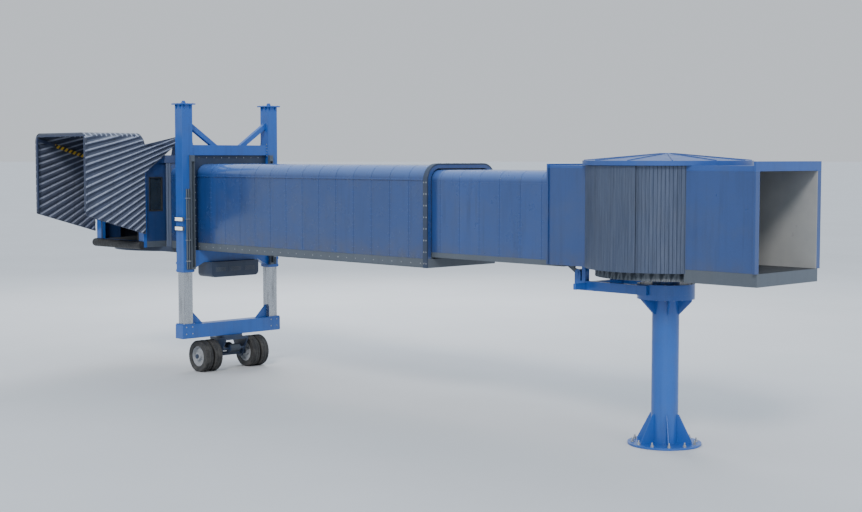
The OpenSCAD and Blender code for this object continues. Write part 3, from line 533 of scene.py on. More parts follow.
def coated_fabric(name, colour, ridges=False):
    """Woven and coated cloth: fine weave, dust on what faces up, and painted highlights along the ridges if
    it is folded.
    """
    look = Shader(name, 0.66, sheen=0.25)
    shades = tinted(colour, 0.75), tinted(colour, 1.25)
    look.tone = look.mix(look.patches(1.7, 5, roughness=0.6), *shades)
    up = look.fit(look.axis("Z", look.normal), 0.05, 0.9)
    look.layer(look.times(up, look.patches(6, 5, to=(0.10, 0.40))), CLOTH_DUST)
    if ridges:
        # Painted highlight: the ridges of the folds are made lighter, where light would catch them
        look.layer(fold_ridges(look), look.mix(look.patches(5, 4), *RIDGE_HIGHLIGHT))
    look.layer(look.streaks(9, 0.8, 0.52, 0.72, 0.4), tinted(colour, 0.45))
    across = look.plus(look.axis("X"), look.axis("Y"))
    threads = [look.math("PINGPONG", line, 0.0016) for line in (look.axis("Z"), across)]
    weave = look.times(look.times(*threads), 400.0)
    crumple = look.bump(look.noise(7.0, 4, 0.6), 0.020, 0.30)
    return look.finish(look.patches(14, 3, to=(0.55, 0.78)), look.bump(weave, 0.0012, 0.6, crumple))


def fold_ridges(look):
    """1 along the ridges of the canopy's folds, where the painted highlights go, from the same fan as its
    mesh, and 0 between them.
    """
    forward, up = look.axis("Y"), look.axis("Z")
    turn = look.math("ARCTAN2", look.minus(up, FAN_Z), look.minus(forward, FAN_F))
    side = look.math("FRACT", look.math("DIVIDE", turn, FOLD_ANGLE))
    roof = look.math("FRACT", look.math("DIVIDE", look.minus(CANOPY_FRONT, forward), ROOF_FOLD))
    on_top = look.above(up, CANOPY_TOP - 0.11)
    phase = look.plus(look.times(roof, on_top), look.times(side, look.minus(1.0, on_top)))
    off = look.math("ABSOLUTE", look.minus(phase, 0.5))
    return look.fit(off, 0.10, 0.17, (0.85, 0.0))


def tinted_glass(name):
    """Dark tinted safety glass with patches of dust."""
    look = Shader(name, 0.06)
    dust = look.patches(2.2, 5, 0.45, 0.80, (0.0, 0.35))
    look.fill(look.surface, {"Transmission Weight": 0.55, "IOR": 1.5})
    look.tone = look.mix(dust, GLASS, GLASS_DUST)
    return look.finish(look.fit(dust, 0.0, 0.35, (0.04, 0.30)))


def lamp_diffuser(name):
    """Frosted warm white diffuser, lit from inside and a little mottled."""
    look = Shader(name, 0.35)
    mottled = look.patches(24, 3)
    look.fill(look.surface, {"Emission Color": look.mix(mottled, *LAMP_GLOW),
                             "Emission Strength": 0.35})
    look.tone = look.mix(mottled, *LAMP_WHITE)
    return look.finish()


def hazard_stripes(name):
    """Slanting black and yellow safety stripes, worn in places."""
    look = Shader(name, 0.5)
    slant = look.plus(look.plus(look.axis("Y"), look.axis("Z")), look.axis("X"))
    stripe = look.above(look.math("PINGPONG", slant, 0.10), 0.05)
    worn = look.patches(9, 6, 0.50, 0.75, (0.0, 0.6), 0.7)
    look.tone = look.mix(stripe, SAFETY_YELLOW, SAFETY_BLACK)
    look.layer(worn, WORN_PAINT)
    return look.finish(look.fit(worn, 0.0, 0.6, (0.42, 0.7)), look.bump(look.noise(70, 2), 0.001))


# Paints, each with its colour, roughness, grime, rain streaks and clear coat
blue_steel = painted("blue_steel", BLUE, 0.36, 0.28, 0.30, 0.25)
dark_steel = painted("dark_steel", NIGHT, 0.42, 0.40, 0.25, 0.10)
cab_paint = painted("cab_paint", (0.014, 0.036, 0.115), 0.34, 0.30, 0.35, 0.20)
grey_steel = painted("grey_steel", GREY, 0.50, 0.40, 0.30, 0.0)
wheel_paint = painted("wheel_paint", (0.30, 0.31, 0.33), 0.45, 0.75, 0.20, 0.0)
tube_paint = painted("tube_paint", (0.020, 0.032, 0.075), 0.40, 0.30, 0.20, 0.10)
roof_paint = painted("roof_paint", tinted(SLATE, 1.5), 0.36, 0.45, 0.15, 0.15)
rivet_paint = painted("rivet_paint", tinted(SLATE, 1.8), 0.30, 0.20, 0.0, 0.30)

# Panels, each with where its first joint lies, its pitch and its roughness
OUTER_PITCH = even_pitch(CAB_X - OUTER_LOW.x)
INNER_PITCH = even_pitch(INNER_HIGH.x - INNER_LOW.x)
outer_panels = panelled("outer_panels", SLATE, OUTER_LOW.x, OUTER_PITCH, 0.22)
inner_panels = panelled("inner_panels", tinted(SLATE, 1.15), INNER_LOW.x, INNER_PITCH, 0.28)
hood_panels = panelled("hood_panels", tinted(SLATE, 1.05), 0.0, 5.0, 0.30)

# Rubbers with their roughness and dust, and bare metals with roughness, metal and spangle
slats = slatted("slats")
deck = floor_finish("deck")
tyre_rubber = rubber_like("tyre_rubber", (0.018, 0.018, 0.019), 0.68, 0.60)
seal_rubber = rubber_like("seal_rubber", (0.012, 0.012, 0.013), 0.60, 0.30)
zinc = galvanised("zinc", (0.42, 0.44, 0.46), 0.40, 0.75, 0.5)
leg_steel = galvanised("leg_steel", (0.52, 0.54, 0.57), 0.27, 0.90, 0.12)
fabric = coated_fabric("canopy_cloth", (0.022, 0.031, 0.062), True)
hem_cloth = coated_fabric("hem_cloth", (0.016, 0.024, 0.052))
piping = coated_fabric("fold_piping", (0.30, 0.33, 0.42))
glass = tinted_glass("tinted_glass")
diffuser = lamp_diffuser("lamp_diffuser")
stripes = hazard_stripes("safety_stripes")


def bolt_heads(name, body, slot, rows):
    """A piece of hexagon heads on washers. Each row has its places, a direction and a radius."""
    shape = Shape()
    for row in rows:
        shape.studs(WASHER, 12, *row)
        shape.studs(BOLT_HEAD, 6, *row)
    shape.piece(name, body, slot, zinc, smooth=40)


# The frame's nodes, in lists that share a material and the width of their softened edges
LOOKS = [
    (blue_steel, 0.006, ["base_plate", "pedestal_column", "swing_yoke", "lift_posts", "post_caps",
                         "portal_beam", "under_beam", "carriage_beam", "cab_front_frame"]),
    (dark_steel, 0.005, ["outer_collars", "portal_ring", "drive_box", "cab_support",
                         "carriage_frame"]),
    (cab_paint, 0.006, ["cab_roof", "cab_walls", "cab_ceiling"]),
    (roof_paint, 0.006, ["rotunda_roof", "passage_roof", "hood_roof"]),
    (hood_panels, 0.005, ["passage_walls", "hood_walls"]),
    (inner_panels, 0.003, ["inner_walls", "inner_roof"]),
    (outer_panels, 0.003, ["outer_walls", "outer_roof"]),
    (deck, 0.004, ["rotunda_floor", "passage_floor", "hood_floor", "inner_floor", "outer_floor",
                   "cab_floor"]),
    (slats, 0.0, ["fixed_curtains", "swing_curtains", "cab_fixed_curtain", "cab_curtain"]),
    (leg_steel, 0.004, ["lift_legs"]),
    (wheel_paint, 0.003, ["wheel_hubs"]),
    (seal_rubber, 0.006, ["cab_bumper"]),
    (grey_steel, 0.002, ["cable_troughs"]),
    (tube_paint, 0.004, ["canopy_bows"]),
    (diffuser, 0.006, ["work_lamps"]),
    (glass, 0.0, ["cab_windows"]),
]


def dress_frame():
    """Gives each node of the frame its material and softened edges."""
    for material, bevel, names in LOOKS:
        for name in names:
            node = nodes[name]
            node.data.materials.clear()
            node.data.materials.append(material)
            if bevel:
                node.modifiers.new("weld", "WELD").merge_threshold = 0.0002
                add_bevel(node, bevel)
                node.modifiers.new("flat_faces", "WEIGHTED_NORMAL").weight = 90


def anchor_bolts():
    """Studs with nuts and washers on the base plate."""
    washer = [(0.0, 0.012), (0.046, 0.012), (0.048, 0.009), (0.048, 0.0)]
    nut = [(0.0, 0.052), (0.033, 0.052), (0.036, 0.046), (0.036, 0.012)]
    stud = [(0.0, 0.105), (0.016, 0.105), (0.019, 0.100), (0.019, 0.050)]
    top_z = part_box("base_plate")[1].z
    places = [on_circle(ANCHOR_CIRCLE / 2, turn, top_z) for turn in turns(12, 0.5)]
    shape = Shape()
    for place in places:
        for profile, sides in ((washer, 20), (nut, 6), (stud, 12)):
            shape.lathe(profile, sides, Matrix.Translation(place))
    shape.piece("anchor_bolts", "rotunda", "blue_steel", zinc, smooth=40)


def rotunda_details():
    """The roof's cap, the drip lip under its rim, and the bolts of the bearing and the hub."""
    low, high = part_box("rotunda_roof")
    cap = Shape()
    cap.lathe([(0.0, high.z), (0.16, high.z - 0.002), (0.19, high.z - 0.018), (0.21, high.z - 0.045)], 36)
    cap.piece("roof_cap", "rotunda", "panel", roof_paint, smooth=30)
    lip_r = (high.x - low.x) / 2 - 0.09
    lip_low, lip_high = low.z - 0.004, low.z + 0.02
    lip = Shape()
    lip.lathe([(lip_r, lip_low), (lip_r - 0.018, lip_low), (lip_r - 0.018, lip_high), (lip_r, lip_high)],
              120, closed=True)
    lip.piece("roof_drip_lip", "rotunda", "bumper", seal_rubber, smooth=40)
    for name, body, z, facing in (("bearing_bolts", "rotunda", BEARING_FOOT_Z, -1),
                                  ("hub_bolts", "swing_frame", HUB_TOP_Z, 1)):
        places = [on_circle(BEARING_CIRCLE / 2, turn, z) for turn in turns(18, 0.25)]
        bolt_heads(name, body, "blue_steel", [(places, (0, 0, facing), 0.017)])


def both_sides(places, radius):
    """Rows of bolts that face outwards from both sides of the bridge, from the places on its left."""
    return [([(x, side * y, z) for x, y, z in places], (0, side, 0), radius) for side in (-1, 1)]


def tunnel_seams(name, body, low, high, end_x, pitch):
    """Rivets beside each joint of the wall panels, on both sides of the tunnel."""
    margin = 0.035
    places = [(x + gap, high.y, z)
              for x in (low.x + i * pitch for i in range(1, round((end_x - low.x) / pitch)))
              for gap in (-margin, margin) for z in steps(low.z + 0.05, high.z - 0.03, 0.16)]
    shape = Shape()
    for row in both_sides(places, 0.011):
        shape.studs(RIVET, 6, *row)
    shape.piece(name, body, "panel", rivet_paint, smooth=60)


def tunnel_trims():
    """A drip rail along the foot of each eave, and a bolted strip along each edge of the floor."""
    low_x, high_x = COLLAR_HIGH.x + 0.01, RING_LOW.x - 0.01
    rail_z = OUTER_HIGH.z + 0.02
    section = [(0.0, 0.030), (0.020, 0.026), (0.026, 0.006), (0.026, -0.016), (0.018, -0.018),
               (0.016, 0.000), (0.0, -0.004)]
    strip_y = OUTER_HIGH.y + 0.012
    low_z, high_z = OUTER_FLOOR_Z + 0.02, OUTER_LOW.z - 0.02
    places = [(x, strip_y, (low_z + high_z) / 2) for x in steps(low_x + 0.12, high_x - 0.12, 0.38)]
    rails, strips = Shape(), Shape()
    for side in (-1, 1):
        rails.prism(*[[(x, side * (OUTER_HIGH.y + out), rail_z + up) for out, up in section]
                      for x in (low_x, high_x)])
        strips.box((low_x, side * OUTER_HIGH.y, low_z), (high_x, side * strip_y, high_z))
    rails.piece("outer_drip_rail", "outer_tunnel", "panel", outer_panels, smooth=40)
    strips.piece("outer_skirt", "outer_tunnel", "floor_steel", grey_steel, bevel=0.003)
    bolt_heads("outer_skirt_bolts", "outer_tunnel", "floor_steel", both_sides(places, 0.012))


def collar_details():
    """The rubber seal round the inner tunnel, and the bolts of the collar that holds it."""
    near_x, far_x = OUTER_LOW.x + 0.02, OUTER_LOW.x + 0.05
    seal = Shape()
    for side in (-1, 1):
        seal.box((near_x, side * (INNER_HIGH.y + 0.004), OUTER_LOW.z + 0.10),
                 (far_x, side * (OUTER_HIGH.y - 0.112), OUTER_HIGH.z))
    seal.box((near_x, -0.80, INNER_ROOF_Z + 0.004), (far_x, 0.80, OUTER_ROOF_Z - 0.092))
    seal.piece("tunnel_seal", "outer_tunnel", "bumper", seal_rubber, bevel=0.002)
    edges_x = (COLLAR_LOW.x + 0.035, COLLAR_HIGH.x - 0.035)
    rows = both_sides([(x, COLLAR_HIGH.y, z) for x in edges_x
                       for z in steps(COLLAR_LOW.z + 0.12, OUTER_HIGH.z - 0.05, 0.30)], 0.014)
    across = [(x, y, COLLAR_HIGH.z) for x in edges_x for y in steps(-0.8, 0.8, 0.32)]
    bolt_heads("collar_bolts", "outer_tunnel", "dark_steel", rows + [(across, (0, 0, 1), 0.014)])


def eave_closers():
    """Curved plates at the drum, from the tunnel's rounded eaves up to the cab's ceiling."""
    corner = OUTER_ROOF_Z - OUTER_HIGH.z
    flat = OUTER_HIGH.y - corner
    drum = DRUM_RADIUS - 0.005
    shape = Shape()
    for side in (-1, 1):
        columns = []
        for y in spread(flat, OUTER_HIGH.y - 0.002, 16):
            x = CAB_X - math.sqrt(drum ** 2 - y ** 2)
            eave = OUTER_HIGH.z + math.sqrt(max(0.0, corner ** 2 - (y - flat) ** 2)) - 0.012
            columns.append([Vector((x, side * y, z)) for z in (eave, CAB_CEILING_Z - 0.008)])
        shape.grid(columns)
    thicken(shape.piece("eave_closers", "outer_tunnel", "panel", outer_panels, smooth=40), 0.008)


def cap_details(plates, side):
    """Adds the webs under the edges of a post's cap, and gives the places of the bolts on it."""
    reach = (CAP_HIGH.x - CAP_LOW.x) / 2 - 0.015
    web = [(POST_W / 2, -0.002), (reach, -0.002), (reach, -0.02), (POST_W / 2, -0.15)]
    places = []
    for quarter in range(4):
        cap = Matrix.Translation((PORTAL_X, side * POST_Y, CAP_LOW.z))
        cap @= Matrix.Rotation(quarter * math.pi / 2, 4, "Z")
        for y in (-0.11, 0.11):
            plates.prism(*[[(x, y + half, z) for x, z in web] for half in (-0.006, 0.006)], cap)
        places += [cap @ Vector((reach - 0.03, y, 0.04)) for y in (-0.20, 0.0, 0.20)]
    return places


def portal_details():
    """Flanges that bolt the cross beam to the posts, bands at the posts' feet, and the caps."""
    flange_y = POST_INNER_Y - 0.022
    band = 0.014
    plates = Shape()
    rows = []
    for side in (-1, 1):
        plates.box((BEAM_LOW.x - 0.03, side * POST_INNER_Y, BEAM_LOW.z - 0.06),
                   (BEAM_HIGH.x + 0.03, side * flange_y, BEAM_LOW.z + 0.40))
        places = [(x, side * flange_y, z) for x in (BEAM_LOW.x - 0.008, BEAM_HIGH.x + 0.008)
                  for z in steps(BEAM_LOW.z - 0.02, BEAM_LOW.z + 0.36, 0.095)]
        rows += [(places, (0, -side, 0), 0.015), (cap_details(plates, side), (0, 0, 1), 0.016)]
        for z in (POST_LOW.z + 0.02, POST_LOW.z + 0.26):
            plates.box((POST_LOW.x - band, side * POST_Y - POST_W / 2 - band, z),
                       (POST_HIGH.x + band, side * POST_Y + POST_W / 2 + band, z + 0.07))
    plates.piece("portal_flanges", "outer_tunnel", "blue_steel", blue_steel, bevel=0.003)
    bolt_heads("portal_bolts", "outer_tunnel", "blue_steel", rows)


def ring_bolts():
    """Bolt heads on both faces of the ring that frames the tunnel."""
    places = [(side * y, z) for side in (-1, 1) for y in (OUTER_HIGH.y + 0.05, POST_INNER_Y - 0.05)
              for z in steps(RING_LOW.z + 0.12, OUTER_HIGH.z, 0.26)]
    places += [(y, RING_HIGH.z - 0.08) for y in steps(-1.2, 1.2, 0.3)]
    bolt_heads("ring_bolts", "outer_tunnel", "dark_steel",
               [([(x, y, z) for y, z in places], (facing, 0, 0), 0.013)
                for x, facing in ((RING_LOW.x, -1), (RING_HIGH.x, 1))])


def pipe_clamps():
    """Clamps that hold the cable troughs to the posts."""
    low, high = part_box("cable_troughs")
    shape = Shape()
    for side in (-1, 1):
        for z in steps(low.z + 0.25, high.z - 1.4, 0.62):
            shape.box((high.x - 0.066, side * (POST_INNER_Y + 0.145), z),
                      (high.x, side * (high.y + 0.012), z + 0.035))
    shape.piece("pipe_clamps", "outer_tunnel", "conduit", zinc, bevel=0.003)


def drive_box_details():
    """Three covers on each long side of the drive box, with rows of cooling slots."""
    covers, slots = Shape(), Shape()
    for x, facing in ((DRIVE_LOW.x, -1), (DRIVE_HIGH.x, 1)):
        for y0, y1 in ((-0.86, -0.32), (-0.27, 0.27), (0.32, 0.86)):
            covers.box((x, y0, DRIVE_LOW.z + 0.13), (x + facing * 0.006, y1, DRIVE_HIGH.z - 0.05))
            for z in steps(DRIVE_LOW.z + 0.19, DRIVE_HIGH.z - 0.20, 0.032):
                slots.box((x + facing * 0.004, y0 + 0.07, z), (x + facing * 0.014, y1 - 0.07, z + 0.014))
    covers.piece("drive_covers", "outer_tunnel", "dark_steel", dark_steel, bevel=0.002)
    slots.piece("cooling_slots", "outer_tunnel", "dark_steel", grey_steel)


def lamp_housings():
    """Sheet steel frames round the lamps, out from the post's face."""
    low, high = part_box("work_lamps")
    lamp_high, rim, lap_z, lap_x = 0.11, 0.010, 0.004, 0.006
    shape = Shape()
    for side in (-1, 1):
        near_y, far_y = side * (POST_Y + POST_W / 2), side * high.y
        for z in (low.z, high.z - lamp_high):
            for z0, z1 in ((z - rim, z + lap_z), (z + lamp_high - lap_z, z + lamp_high + rim)):
                shape.box((low.x - rim, near_y, z0), (high.x + rim, far_y, z1))
            for x0, x1 in ((low.x - rim, low.x + lap_x), (high.x - lap_x, high.x + rim)):
                shape.box((x0, near_y, z - rim), (x1, far_y, z + lamp_high + rim))
    shape.piece("lamp_housings", "outer_tunnel", "conduit", grey_steel, bevel=0.002)


def tyre_section(outer_r, rim_r):
    """A tyre's section as (radius, offset), from bead to bead over a crown with two grooves."""
    width, shoulder = 0.30, 0.045
    wall = outer_r - shoulder - rim_r
    half = [(rim_r, width * 0.46)]
    half += [(rim_r + wall * t, width / 2 - 0.010 * math.sin(math.pi * t))
             for t in (0.15, 0.3, 0.45, 0.6, 0.75, 0.9)]
    half += [(outer_r - shoulder + shoulder * math.sin(a), width / 2 - shoulder + shoulder * math.cos(a))
             for a in (0.0, 0.4, 0.8, 1.2)]
    groove_r = outer_r - 0.014
    half += [(outer_r, 0.085), (outer_r, 0.062), (groove_r, 0.056), (groove_r, 0.040), (outer_r, 0.034)]
    return half + [(outer_r, 0.0)] + [(r, -y) for r, y in reversed(half)]


def tyres():
    """Solid tyres, with cross grooves at their shoulders."""
    outer_r = (TYRE_HIGH.x - TYRE_LOW.x) / 2
    section = tyre_section(outer_r, (HUB_HIGH.x - HUB_LOW.x) / 2)
    lugs = 44
    depth = 0.013
    # Where each ring of points lies in its lug's pitch, and how deep the shoulder is cut there
    lug = ((0.0, 0.0), (0.66, 0.0), (0.70, depth), (0.96, depth))
    shape = Shape()
    for side in (-1, 1):
        for twin in (-1, 1):
            centre_y = side * TYRE_PAIR_Y + twin * TWIN_Y
            rings = []
            for i in range(lugs):
                for share, cut in lug:
                    turn = (i + share) * math.tau / lugs
                    cuts = [(r - (cut if abs(y) > 0.062 and r > outer_r - 0.05 else 0.0), y)
                            for r, y in section]
                    rings.append([Vector((PORTAL_X + r * math.cos(turn), centre_y + y,
                                          max(AXLE_Z + r * math.sin(turn), 0.0))) for r, y in cuts])
            shape.grid(rings + rings[:1])
    made = shape.piece("tyres_grooved", "lift_carriage", "tyre", tyre_rubber, smooth=40)
    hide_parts("tyres")


def wheel_details():
    """Wheel nuts on both faces of each wheel, and a hub cap outside each pair."""
    circle = 0.165
    places = [(PORTAL_X + circle * math.cos(turn), AXLE_Z + circle * math.sin(turn)) for turn in turns(10)]
    wheels_y = [side * TYRE_PAIR_Y + twin * TWIN_Y for side in (-1, 1) for twin in (-1, 1)]
    bolt_heads("wheel_nuts", "lift_carriage", "wheel",
               [([(x, y + face * 0.037, z) for y in wheels_y for x, z in places], (0, face, 0), 0.015)
                for face in (-1, 1)])
    caps = Shape()
    for side in (-1, 1):
        stand = toward((0, side, 0), (PORTAL_X, side * (HUB_HIGH.y - 0.04), AXLE_Z))
        caps.lathe([(0.0, 0.060), (0.050, 0.056), (0.066, 0.040), (0.070, 0.0)], 24, stand)
    caps.piece("hub_caps", "lift_carriage", "wheel", wheel_paint, smooth=40)


def carriage_details():
    """Motor cooling fins, turntable bolts, and the leg flanges with their bolts."""
    fin = [(0.128, 0.0), (0.143, 0.0), (0.143, 0.005), (0.128, 0.005)]
    fins = Shape()
    for side in (-1, 1):
        for y in steps(-0.17, 0.17, 0.017):
            stand = toward((0, 1, 0), (PORTAL_X + side * 0.23, y, AXLE_Z + 0.19))
            fins.lathe(fin, 28, stand, closed=True)
    fins.piece("motor_fins", "lift_carriage", "dark_steel", grey_steel, smooth=40)
    ring_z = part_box("carriage_frame")[1].z - 0.09
    flange_half, bolt_half = 0.225, 0.195
    foot_bolts_z = (1.30, 1.52)
    foot_z, top_z = CARRIAGE_LOW.z + 0.45, CARRIAGE_LOW.z + 0.478
    flanges = Shape()
    rows = [([on_circle(0.385, turn, ring_z, PORTAL_X) for turn in turns(16, 0.5)], (0, 0, -1), 0.014)]
    for y in (-POST_Y, POST_Y):
        flanges.box((PORTAL_X - flange_half, y - flange_half, foot_z),
                    (PORTAL_X + flange_half, y + flange_half, top_z))
        rows.append(([(PORTAL_X + dx, y + dy, top_z) for dx in (-bolt_half, 0.0, bolt_half)
                      for dy in (-bolt_half, bolt_half)], (0, 0, 1), 0.016))
        rows += [([(x, y + dy, z) for dy in (-0.12, 0.12) for z in foot_bolts_z], (facing, 0, 0), 0.016)
                 for x, facing in ((CARRIAGE_LOW.x, -1), (CARRIAGE_HIGH.x, 1))]
    flanges.piece("leg_flanges", "lift_carriage", "blue_steel", blue_steel, bevel=0.003)
    bolt_heads("carriage_bolts", "lift_carriage", "blue_steel", rows)


def window_gaskets():
    """A rubber frame round each side window."""
    out, lap = 0.02, 0.025
    low, high = WINDOW_LOW, WINDOW_HIGH
    strips = [(low.z - out, low.z + lap, low.y - out, high.y + out),
              (high.z - lap, high.z + out, low.y - out, high.y + out),
              (low.z, high.z, low.y - out, low.y + lap),
              (low.z, high.z, high.y - lap, high.y + out)]
    shape = Shape()
    for side in (-1, 1):
        for z0, z1, f0, f1 in strips:
            shape.box(from_cab(f0, side * (CAB_HALF - 0.030), z0),
                      from_cab(f1, side * (CAB_HALF + 0.008), z1))
    shape.piece("window_gaskets", "cab", "bumper", seal_rubber, bevel=0.003)


def bumper_ribs():
    """Ribs round the nose of the bumper."""
    low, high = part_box("cab_bumper")
    nose = 0.130
    section = [(low.y + 0.02, high.z - 0.001)]
    section += [(high.y - nose + nose * math.cos(a), (low.z + high.z) / 2 + nose * math.sin(a))
                for a in spread(math.pi / 2, -math.pi / 2, 12)]
    section.append((low.y + 0.02, low.z + 0.001))
    shape = Shape()
    for x in steps(low.x + 0.06, high.x - 0.06, 0.145):
        shape.tube([(x, y, z) for y, z in section], 0.008, 6)
    shape.piece("bumper_ribs", "cab", "bumper", seal_rubber, smooth=50)


def doorway_trim():
    """A rubber strip up each side of the doorway and across its head."""
    back, front = CAB_FRAME_HIGH.y, CAB_FRAME_HIGH.y + 0.012
    outer = DOORWAY_HALF + 0.05
    shape = Shape()
    for side in (-1, 1):
        shape.box(from_cab(back, side * DOORWAY_HALF, CAB_FRAME_LOW.z + 0.20),
                  from_cab(front, side * outer, DOORWAY_TOP_Z + 0.02))
    shape.box(from_cab(back, -outer, DOORWAY_TOP_Z), from_cab(front, outer, DOORWAY_TOP_Z + 0.05))
    shape.piece("doorway_trim", "cab", "bumper", seal_rubber, bevel=0.003)


def roof_header():
    """The bolted cover plate that closes the front of the roof housing over the doorway."""
    low_z, high_z = CAB_FRAME_HIGH.z + 0.010, CAB_ROOF_Z - 0.005
    back, front = CAB_FRAME_HIGH.y, CAB_FRAME_HIGH.y + 0.006
    plate = Shape()
    plate.box(from_cab(back, -1.42, low_z), from_cab(front, 1.42, high_z))
    plate.piece("roof_header", "cab", "dark_steel", cab_paint, bevel=0.002)
    places = [from_cab(front, y, low_z + 0.025) for y in steps(-1.36, 1.36, 0.34)]
    bolt_heads("header_bolts", "cab", "dark_steel", [(places, (0, 1, 0), 0.012)])


def fold(turn):
    """Height of a fold at a phase: 1 at each ridge and 0 in each valley, a little rounded."""
    sharp = 1.0 - abs(2.0 * (turn % 1.0) - 1.0)
    return 0.60 * sharp + 0.40 * (0.5 - 0.5 * math.cos(math.tau * turn))


def fan_angle(f, z):
    return math.atan2(z - FAN_Z, f - FAN_F)


def fan_height(f, turn):
    return FAN_Z + (f - FAN_F) * math.tan(turn)


def fold_ends(turn):
    """Where a fold line enters and leaves the canopy's side, as distances forward."""
    found = []
    for (f0, z0), (f1, z1) in zip(CANOPY_OUTLINE, CANOPY_OUTLINE[1:] + CANOPY_OUTLINE[:1]):
        over0, over1 = z0 - fan_height(f0, turn), z1 - fan_height(f1, turn)
        if (over0 < 0) != (over1 < 0):
            found.append(f0 + (f1 - f0) * over0 / (over0 - over1))
    found.sort()
    return found[-2], found[-1]


def rear_point(turn):
    """Where a fold line meets the canopy's rear edge or crest, as (forward, up)."""
    f = fold_ends(turn)[0]
    return f, fan_height(f, turn)


def rise_f(z):
    """The canopy's rear edge, where it climbs from the gusset to the top."""
    share = (z - RISE_Z) / (CANOPY_TOP - RISE_Z)
    return CANOPY_REAR + CANOPY_SLOPE * min(1.0, max(0.0, share))


def side_sink(f, z, bend):
    """How far the cloth of a side lies in from its outer envelope: folds, then small creases."""
    shape = FOLD_DEPTH * (1.0 - fold(fan_angle(f, z) / FOLD_ANGLE))
    shape *= ease(CANOPY_CORNER * (math.pi / 2 - bend), 0.28) * ease(CANOPY_FRONT - f, 0.10)
    if z > RISE_Z:
        shape *= ease(f - rise_f(z), 0.10)
    elif f < CANOPY_REAR:
        slope = (RISE_Z - GUSSET_TOP) / (CANOPY_REAR - GUSSET_F)
        shape *= ease(GUSSET_TOP + slope * (f - GUSSET_F) - z, 0.07)
    crease = 0.004 * (1.0 + noise.noise(Vector((f * 3.1, z * 3.7, 0.4))))
    return shape + crease * ease(CANOPY_FRONT - f, 0.1)


def side_point(f, z, side):
    """A point of the side's cloth, which bends over into the roof at the top."""
    above = z - (CANOPY_TOP - CANOPY_CORNER)
    bend = math.asin(min(1.0, max(0.0, above) / CANOPY_CORNER))
    sink = side_sink(f, z, bend)
    if above <= 0:
        return from_cab(f, side * (CANOPY_HALF - sink), z)
    reach = CANOPY_CORNER - sink
    return from_cab(f, side * (CANOPY_FLAT + reach * math.cos(bend)),
                    CANOPY_TOP - CANOPY_CORNER + reach * math.sin(bend))


def fold_row(turn, side, count=40):
    """Points along a fold line, closer together where it bends over the corner."""
    start, end = fold_ends(turn)
    power = 1.0 + ease(fan_height(start, turn) - CANOPY_TOP + CANOPY_CORNER + 0.1, 0.3)
    places = [start + (end - start) * (i / (count - 1)) ** power for i in range(count)]
    return [side_point(f, fan_height(f, turn), side) for f in places]


def roof_point(f, y):
    """A point of the roof's cloth, with folds across it and a sag between its bows."""
    inside = ease(CANOPY_FLAT - abs(y), 0.25)
    ends = ease(f - CREST_F, 0.09) * ease(CANOPY_FRONT - f, 0.09)
    share = min(1.0, max(0.0, (f - CREST_F - 0.25) / (CANOPY_FRONT - CREST_F - 0.30)))
    sag = ROOF_SAG * math.sin(math.pi * share) ** 2
    drop = ROOF_FOLD_DEPTH * (1.0 - fold((CANOPY_FRONT - f) / ROOF_FOLD)) + sag
    return from_cab(f, y, CANOPY_TOP - drop * inside * ends)


def canopy():
    """One continuous pleated sheet: both sides with their gussets, roof, rear rise and apron."""
    low = fan_angle(*CANOPY_OUTLINE[0])
    rise = fan_angle(CANOPY_REAR, RISE_Z)
    crest = fan_angle(CREST_F, CANOPY_TOP)
    side_rows = spread(low + 0.0002, rise, round((rise - low) / FOLD_ANGLE * 10))
    rear_rows = spread(rise, crest, 26)
    roof_rows = [fan_angle(f, CANOPY_TOP) for f in steps(CREST_F, CANOPY_FRONT, 0.019)[1:-1]]
    shape = Shape()
    for side in (-1, 1):
        shape.grid([fold_row(turn, side) for turn in side_rows + rear_rows[1:] + roof_rows])
    shape.grid([[roof_point(rear_point(turn)[0], y) for y in spread(-CANOPY_FLAT, CANOPY_FLAT, 44)]
                for turn in rear_rows[-1:] + roof_rows])
    places = [(CANOPY_REAR, z) for z in steps(APRON_LOW, RISE_Z, 0.022)[:-1]]
    places += [rear_point(turn) for turn in rear_rows]
    back = []
    for f, z in places:
        half = CAB_X - side_point(f, z, 1).x
        across = spread(-half, half, 44)
        dents = [0.012 * ease(half - abs(y), 0.2) * (1.8 + noise.noise(Vector((y * 2.3, z * 4.0, 1.7))))
                 for y in across]
        back.append([from_cab(f + dent, y, z) for y, dent in zip(across, dents)])
    shape.grid(back)
    cloth = shape.piece("canopy_cloth", "cab", "canopy_fabric", fabric, smooth=75)
    thicken(cloth, 0.004)
    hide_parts("canopy")
    trims = [canopy_piping(), canopy_hem()]


def canopy_piping():
    """A pale welt along each ridge of the folds."""
    low, high = fan_angle(*CANOPY_OUTLINE[0]), fan_angle(CANOPY_FRONT, CANOPY_TOP)
    ridges = range(math.ceil(low / FOLD_ANGLE - 0.5), math.floor(high / FOLD_ANGLE - 0.5) + 1)
    shape = Shape()
    for side in (-1, 1):
        for turn in ((i + 0.5) * FOLD_ANGLE for i in ridges):
            start, end = fold_ends(turn)
            if end - start > 0.15:
                shape.tube(fold_row(turn, side, 26), 0.006, 6)
    for i in range(int((CANOPY_FRONT - CREST_F) / ROOF_FOLD)):
        f = CANOPY_FRONT - (i + 0.5) * ROOF_FOLD
        shape.tube([roof_point(f, y) for y in spread(-CANOPY_FLAT, CANOPY_FLAT, 24)], 0.006, 6)
    return shape.piece("canopy_piping", "cab", "canopy_fabric", piping, smooth=50)


